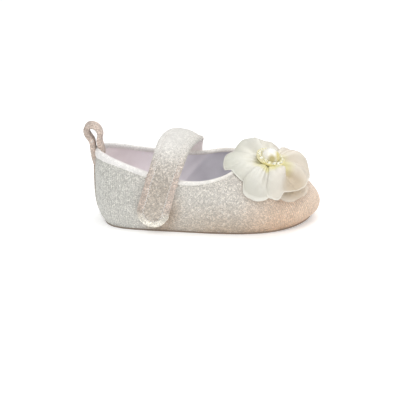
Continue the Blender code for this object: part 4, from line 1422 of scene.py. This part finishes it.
# %% Petals
PETAL_CLEAR, COLLAR_CLEAR = 0.0006, 0.0012
NEAR_CLOTH = 0.01
HANG = 0.35
ORGANZA_THICKNESS = 0.0002
COLLAR_EDGE = [wall_frame(float(share), 1.0)[:2] for share in np.linspace(0, 1, 240, endpoint=False)]
collar_plan = KDTree(len(COLLAR_EDGE))
for i, (edge, _) in enumerate(COLLAR_EDGE):
    collar_plan.insert((edge.x, edge.y, 0.0), i)
collar_plan.balance()


def lifted(spot):
    """The spot, moved out of the shoe where it is too near its cloth, or held up by the collar's edge."""
    _, index, apart = collar_plan.find((spot.x, spot.y, 0.0))
    edge, way = COLLAR_EDGE[index]
    if (spot - edge).xy.dot(way.xy) < 0:
        return Vector((spot.x, spot.y, max(spot.z, edge.z + COLLAR_CLEAR - HANG * apart)))
    under = touch(upper_faces, (spot.x, spot.y, FAR), (0, 0, -1))
    if under and under.z > spot.z:
        spot = under
    near, out, _, _ = upper_faces.find_nearest(spot)
    depth = PETAL_CLEAR - (spot - near).dot(out)
    return spot + out * depth if depth > 0 and (spot - near).length < NEAR_CLOTH else spot


def add_petal(petal):
    place = FLOWER @ Matrix.Rotation(math.radians(petal.turn_deg), 4, "Z")
    point = cup_point if petal.open_cup else loop_point
    width = 2 * math.radians(petal.half_deg) * PETAL_OVERLAP * petal.length
    made = shaped_grid(
        44, 76, lambda u, v: lifted(place @ point(petal, v, 2 * u - 1)[0]), (width, 2 * petal.length),
        lambda u, v: point(petal, v, 2 * u - 1)[1],
    )
    piece = add_piece(petal.name + "_cloth", made, ORGANZA, "organza", petal.name)
    cloth = piece.modifiers.new("cloth", "SOLIDIFY")
    cloth.thickness = ORGANZA_THICKNESS
    cloth.offset = 0.0


for petal in PETALS:
    add_petal(petal)

# %% [markdown]
# ## Flower core
# Under the brooch the roots of the petals are drawn together with thread into a short pleated stem. It is a
# grid that goes from the middle of its foot, out, up the pleats and in to the middle of its top.

# %% Flower core
CORE_RADIUS, CORE_FOOT, CORE_TOP = 0.0028, 0.0009, 0.0034
CORE_PLEATS, CORE_PLEAT_DEPTH = 10, 0.14
CORE_PLACES = (0.0, 0.15, 0.85, 1.0)


def core_shape(u, v):
    spread = float(np.interp(v, CORE_PLACES, (0.0, 1.0, 1.0, 0.0)))
    height = float(np.interp(v, CORE_PLACES, (CORE_FOOT, CORE_FOOT, CORE_TOP, CORE_TOP)))
    turn = 2 * math.pi * u
    radius = CORE_RADIUS * spread * (1 - CORE_PLEAT_DEPTH * (0.5 + 0.5 * math.cos(CORE_PLEATS * turn)))
    return FLOWER @ Vector((radius * math.cos(turn), radius * math.sin(turn), height))


core_size = (2 * math.pi * CORE_RADIUS, CORE_TOP)
add_piece(
    "flower_core_pleats", shaped_grid(80, 14, core_shape, core_size), ORGANZA, "organza", "flower_core",
)

# %% [markdown]
# ## Brooch finishes
# The brooch is gilt metal with a pearl and small cut stones. Gold is metallic with a slightly uneven
# roughness. The pearl has a soft body colour under a clear coat, with painted reflections of the gold
# setting on its lower edge and one flank. The stones show patches of several tones, from clear to dull
# yellow.

# %% Brooch finishes
BROOCH = (
    FLOWER
    @ Matrix.Rotation(math.radians(BROOCH_PITCH_DEG), 4, "Y")
    @ Matrix.Rotation(math.radians(BROOCH_ROLL_DEG), 4, "X")
)
SEAT = CORE_TOP + GAP
DISH_RADIUS, DISH_THICKNESS = 0.0074, 0.0007
FACE = SEAT + DISH_THICKNESS


def gold_finish():
    made, tree, shader = start_material("gilt_metal", Metallic=1.0)
    place, _, _ = coordinates(tree)
    mottle = place_group(tree, MOTTLE, place, 900.0)
    base = mix_colours(tree, mottle["Tone"], linear(244, 235, 190), linear(252, 247, 220))
    tree.links.new(base, shader.inputs["Base Color"])
    tree.links.new(remap(tree, mottle["Tone"], 0.0, 1.0, 0.25, 0.40), shader.inputs["Roughness"])
    return made


def pearl_finish():
    made, tree, shader = start_material("pearl", Coat_Weight=1.0, Coat_Roughness=0.04)
    place, _, _ = coordinates(tree)
    mottle = place_group(tree, MOTTLE, place, 500.0)
    # Painted reflections of the gold setting: olive low on the pearl, gold on its flank.
    lower_reflection_middle = BROOCH @ Vector((0.0002, -0.0044, FACE + 0.0020))
    lower_reflection = near_to(tree, place, lower_reflection_middle, far=0.0029, near=0.0011, most=0.85)
    flank_reflection_middle = BROOCH @ Vector((0.0044, -0.0010, FACE + 0.0028))
    flank_reflection = near_to(tree, place, flank_reflection_middle, far=0.0040, near=0.0024, most=0.90)
    base = mix_colours(tree, mottle["Tone"], linear(244, 240, 226), linear(249, 247, 240))
    base = mix_colours(tree, flank_reflection, base, linear(218, 203, 118))
    base = mix_colours(tree, lower_reflection, base, linear(190, 174, 104))
    tree.links.new(base, shader.inputs["Base Color"])
    tree.links.new(remap(tree, mottle["Tone"], 0.0, 1.0, 0.22, 0.30), shader.inputs["Roughness"])
    return made


def stone_finish():
    made, tree, shader = start_material("cut_stone", Coat_Weight=1.0, Coat_Roughness=0.02)
    place, _, _ = coordinates(tree)
    flakes = place_group(tree, FLAKES, place, 1500.0)
    base = colour_ramp(tree, flakes["Tone"], (
        (0.00, linear(222, 214, 150)), (0.35, linear(244, 241, 210)), (0.60, linear(253, 253, 248)),
        (1.00, linear(236, 231, 184)),
    ))
    tree.links.new(base, shader.inputs["Base Color"])
    tree.links.new(remap(tree, flakes["Spark"], 0.0, 1.0, 0.12, 0.04), shader.inputs["Roughness"])
    return made


GOLD, PEARL, STONE = gold_finish(), pearl_finish(), stone_finish()
print("finishes", GOLD.name, PEARL.name, STONE.name)

# %% [markdown]
# ## Brooch
# Turned pieces come from the spin operator: a few vertices give the profile, and a full turn with
# use_merge closes it. The dish has a raised rim and a bezel that holds the pearl. The rim carries a row
# of tiny grains, and the fifteen stones sit in the channel between rim and bezel, each between small gold
# claws.

# %% Dish and pearl
RIM_HEIGHT, RIM_WIDTH, RIM_SOFTENING = 0.0006, 0.0004, 0.00012
BEZEL_RADIUS, BEZEL_HEIGHT = 0.0048, 0.0006
PEARL_RADIUS, PEARL_DOME = 0.0047, 0.0044
TURNED_STEPS = 96


def turned(profile):
    """A profile of radius and height, spun a full turn round the brooch's axis."""
    made = bmesh.new()
    made.loops.layers.uv.new("UVMap")
    line = [made.verts.new((radius, 0, height)) for radius, height in profile]
    edges = [made.edges.new(pair) for pair in zip(line, line[1:])]
    bmesh.ops.spin(
        made, geom=line + edges, cent=(0, 0, 0), axis=(0, 0, 1), angle=2 * math.pi,
        steps=TURNED_STEPS, use_merge=True,
    )
    bmesh.ops.remove_doubles(made, verts=made.verts, dist=MERGE)
    bmesh.ops.transform(made, matrix=BROOCH, verts=made.verts)
    return made


dish_profile = (
    (0.0, SEAT), (DISH_RADIUS, SEAT), (DISH_RADIUS, FACE + RIM_HEIGHT),
    (DISH_RADIUS - RIM_WIDTH, FACE + RIM_HEIGHT), (DISH_RADIUS - RIM_WIDTH, FACE),
    (BEZEL_RADIUS + RIM_WIDTH, FACE), (BEZEL_RADIUS + RIM_WIDTH, FACE + BEZEL_HEIGHT),
    (BEZEL_RADIUS, FACE + BEZEL_HEIGHT), (BEZEL_RADIUS, FACE), (0.0, FACE),
)
dish = add_piece("brooch_setting", turned(dish_profile), GOLD, "gold", "brooch_dish")
softened = dish.modifiers.new("softened", "BEVEL")
softened.width = RIM_SOFTENING
softened.segments = 2
softened.limit_method = "ANGLE"
girdle = FACE + BEZEL_HEIGHT
pearl_profile = [(0.0, FACE + GAP), (PEARL_RADIUS, FACE + GAP), (PEARL_RADIUS, girdle)]
for turn in np.linspace(0, math.pi / 2, 25)[1:]:
    pearl_profile.append((PEARL_RADIUS * math.cos(turn), girdle + PEARL_DOME * math.sin(turn)))
add_piece("brooch_pearl_dome", turned(pearl_profile), PEARL, "pearl", "brooch_pearl")

# %% Stones, grains and claws
STONE_COUNT, STONE_RADIUS = 15, 0.00110
STONE_RING = (DISH_RADIUS + BEZEL_RADIUS) / 2
STONE_FACETS = 8
TABLE, CULET = 0.55 * STONE_RADIUS, 0.1 * STONE_RADIUS
CROWN, PAVILION = 0.6 * STONE_RADIUS, 0.8 * STONE_RADIUS
GRAIN_COUNT, GRAIN_RADIUS = 60, 0.00030
CLAW_RADIUS, CLAW_REACH = 0.00026, 0.6 * STONE_RADIUS


def on_ring(turn, radius, height):
    """A place on the brooch, turned to face outwards."""
    return BROOCH @ Matrix.Rotation(turn, 4, "Z") @ Matrix.Translation((radius, 0, height))


stones, claws = bmesh.new(), bmesh.new()
for made in (stones, claws):
    made.loops.layers.uv.new("UVMap")
stone_middle = FACE + RIM_HEIGHT
for i in range(STONE_COUNT):
    turn = 2 * math.pi * i / STONE_COUNT
    for foot, top, low, high in ((STONE_RADIUS, TABLE, 0.0, CROWN), (CULET, STONE_RADIUS, -PAVILION, 0.0)):
        middle = on_ring(turn, STONE_RING, stone_middle + (low + high) / 2)
        bmesh.ops.create_cone(
            stones, cap_ends=True, segments=STONE_FACETS, radius1=foot, radius2=top,
            depth=high - low, matrix=middle, calc_uvs=True,
        )
    between = turn + math.pi / STONE_COUNT
    for radius in (STONE_RING - CLAW_REACH, STONE_RING + CLAW_REACH):
        claw = on_ring(between, radius, stone_middle)
        bmesh.ops.create_icosphere(claws, subdivisions=2, radius=CLAW_RADIUS, matrix=claw, calc_uvs=True)
for i in range(GRAIN_COUNT):
    grain = on_ring(2 * math.pi * i / GRAIN_COUNT, DISH_RADIUS - RIM_WIDTH / 2, FACE + RIM_HEIGHT)
    bmesh.ops.create_icosphere(claws, subdivisions=1, radius=GRAIN_RADIUS, matrix=grain, calc_uvs=True)
bead_names = [f"bead_{i + 1:02d}" for i in range(STONE_COUNT)]
cut_stones = add_piece("brooch_stones", stones, STONE, "crystal", *bead_names)
cut_stones.data.shade_flat()
add_piece("brooch_grains", claws, GOLD, "gold")
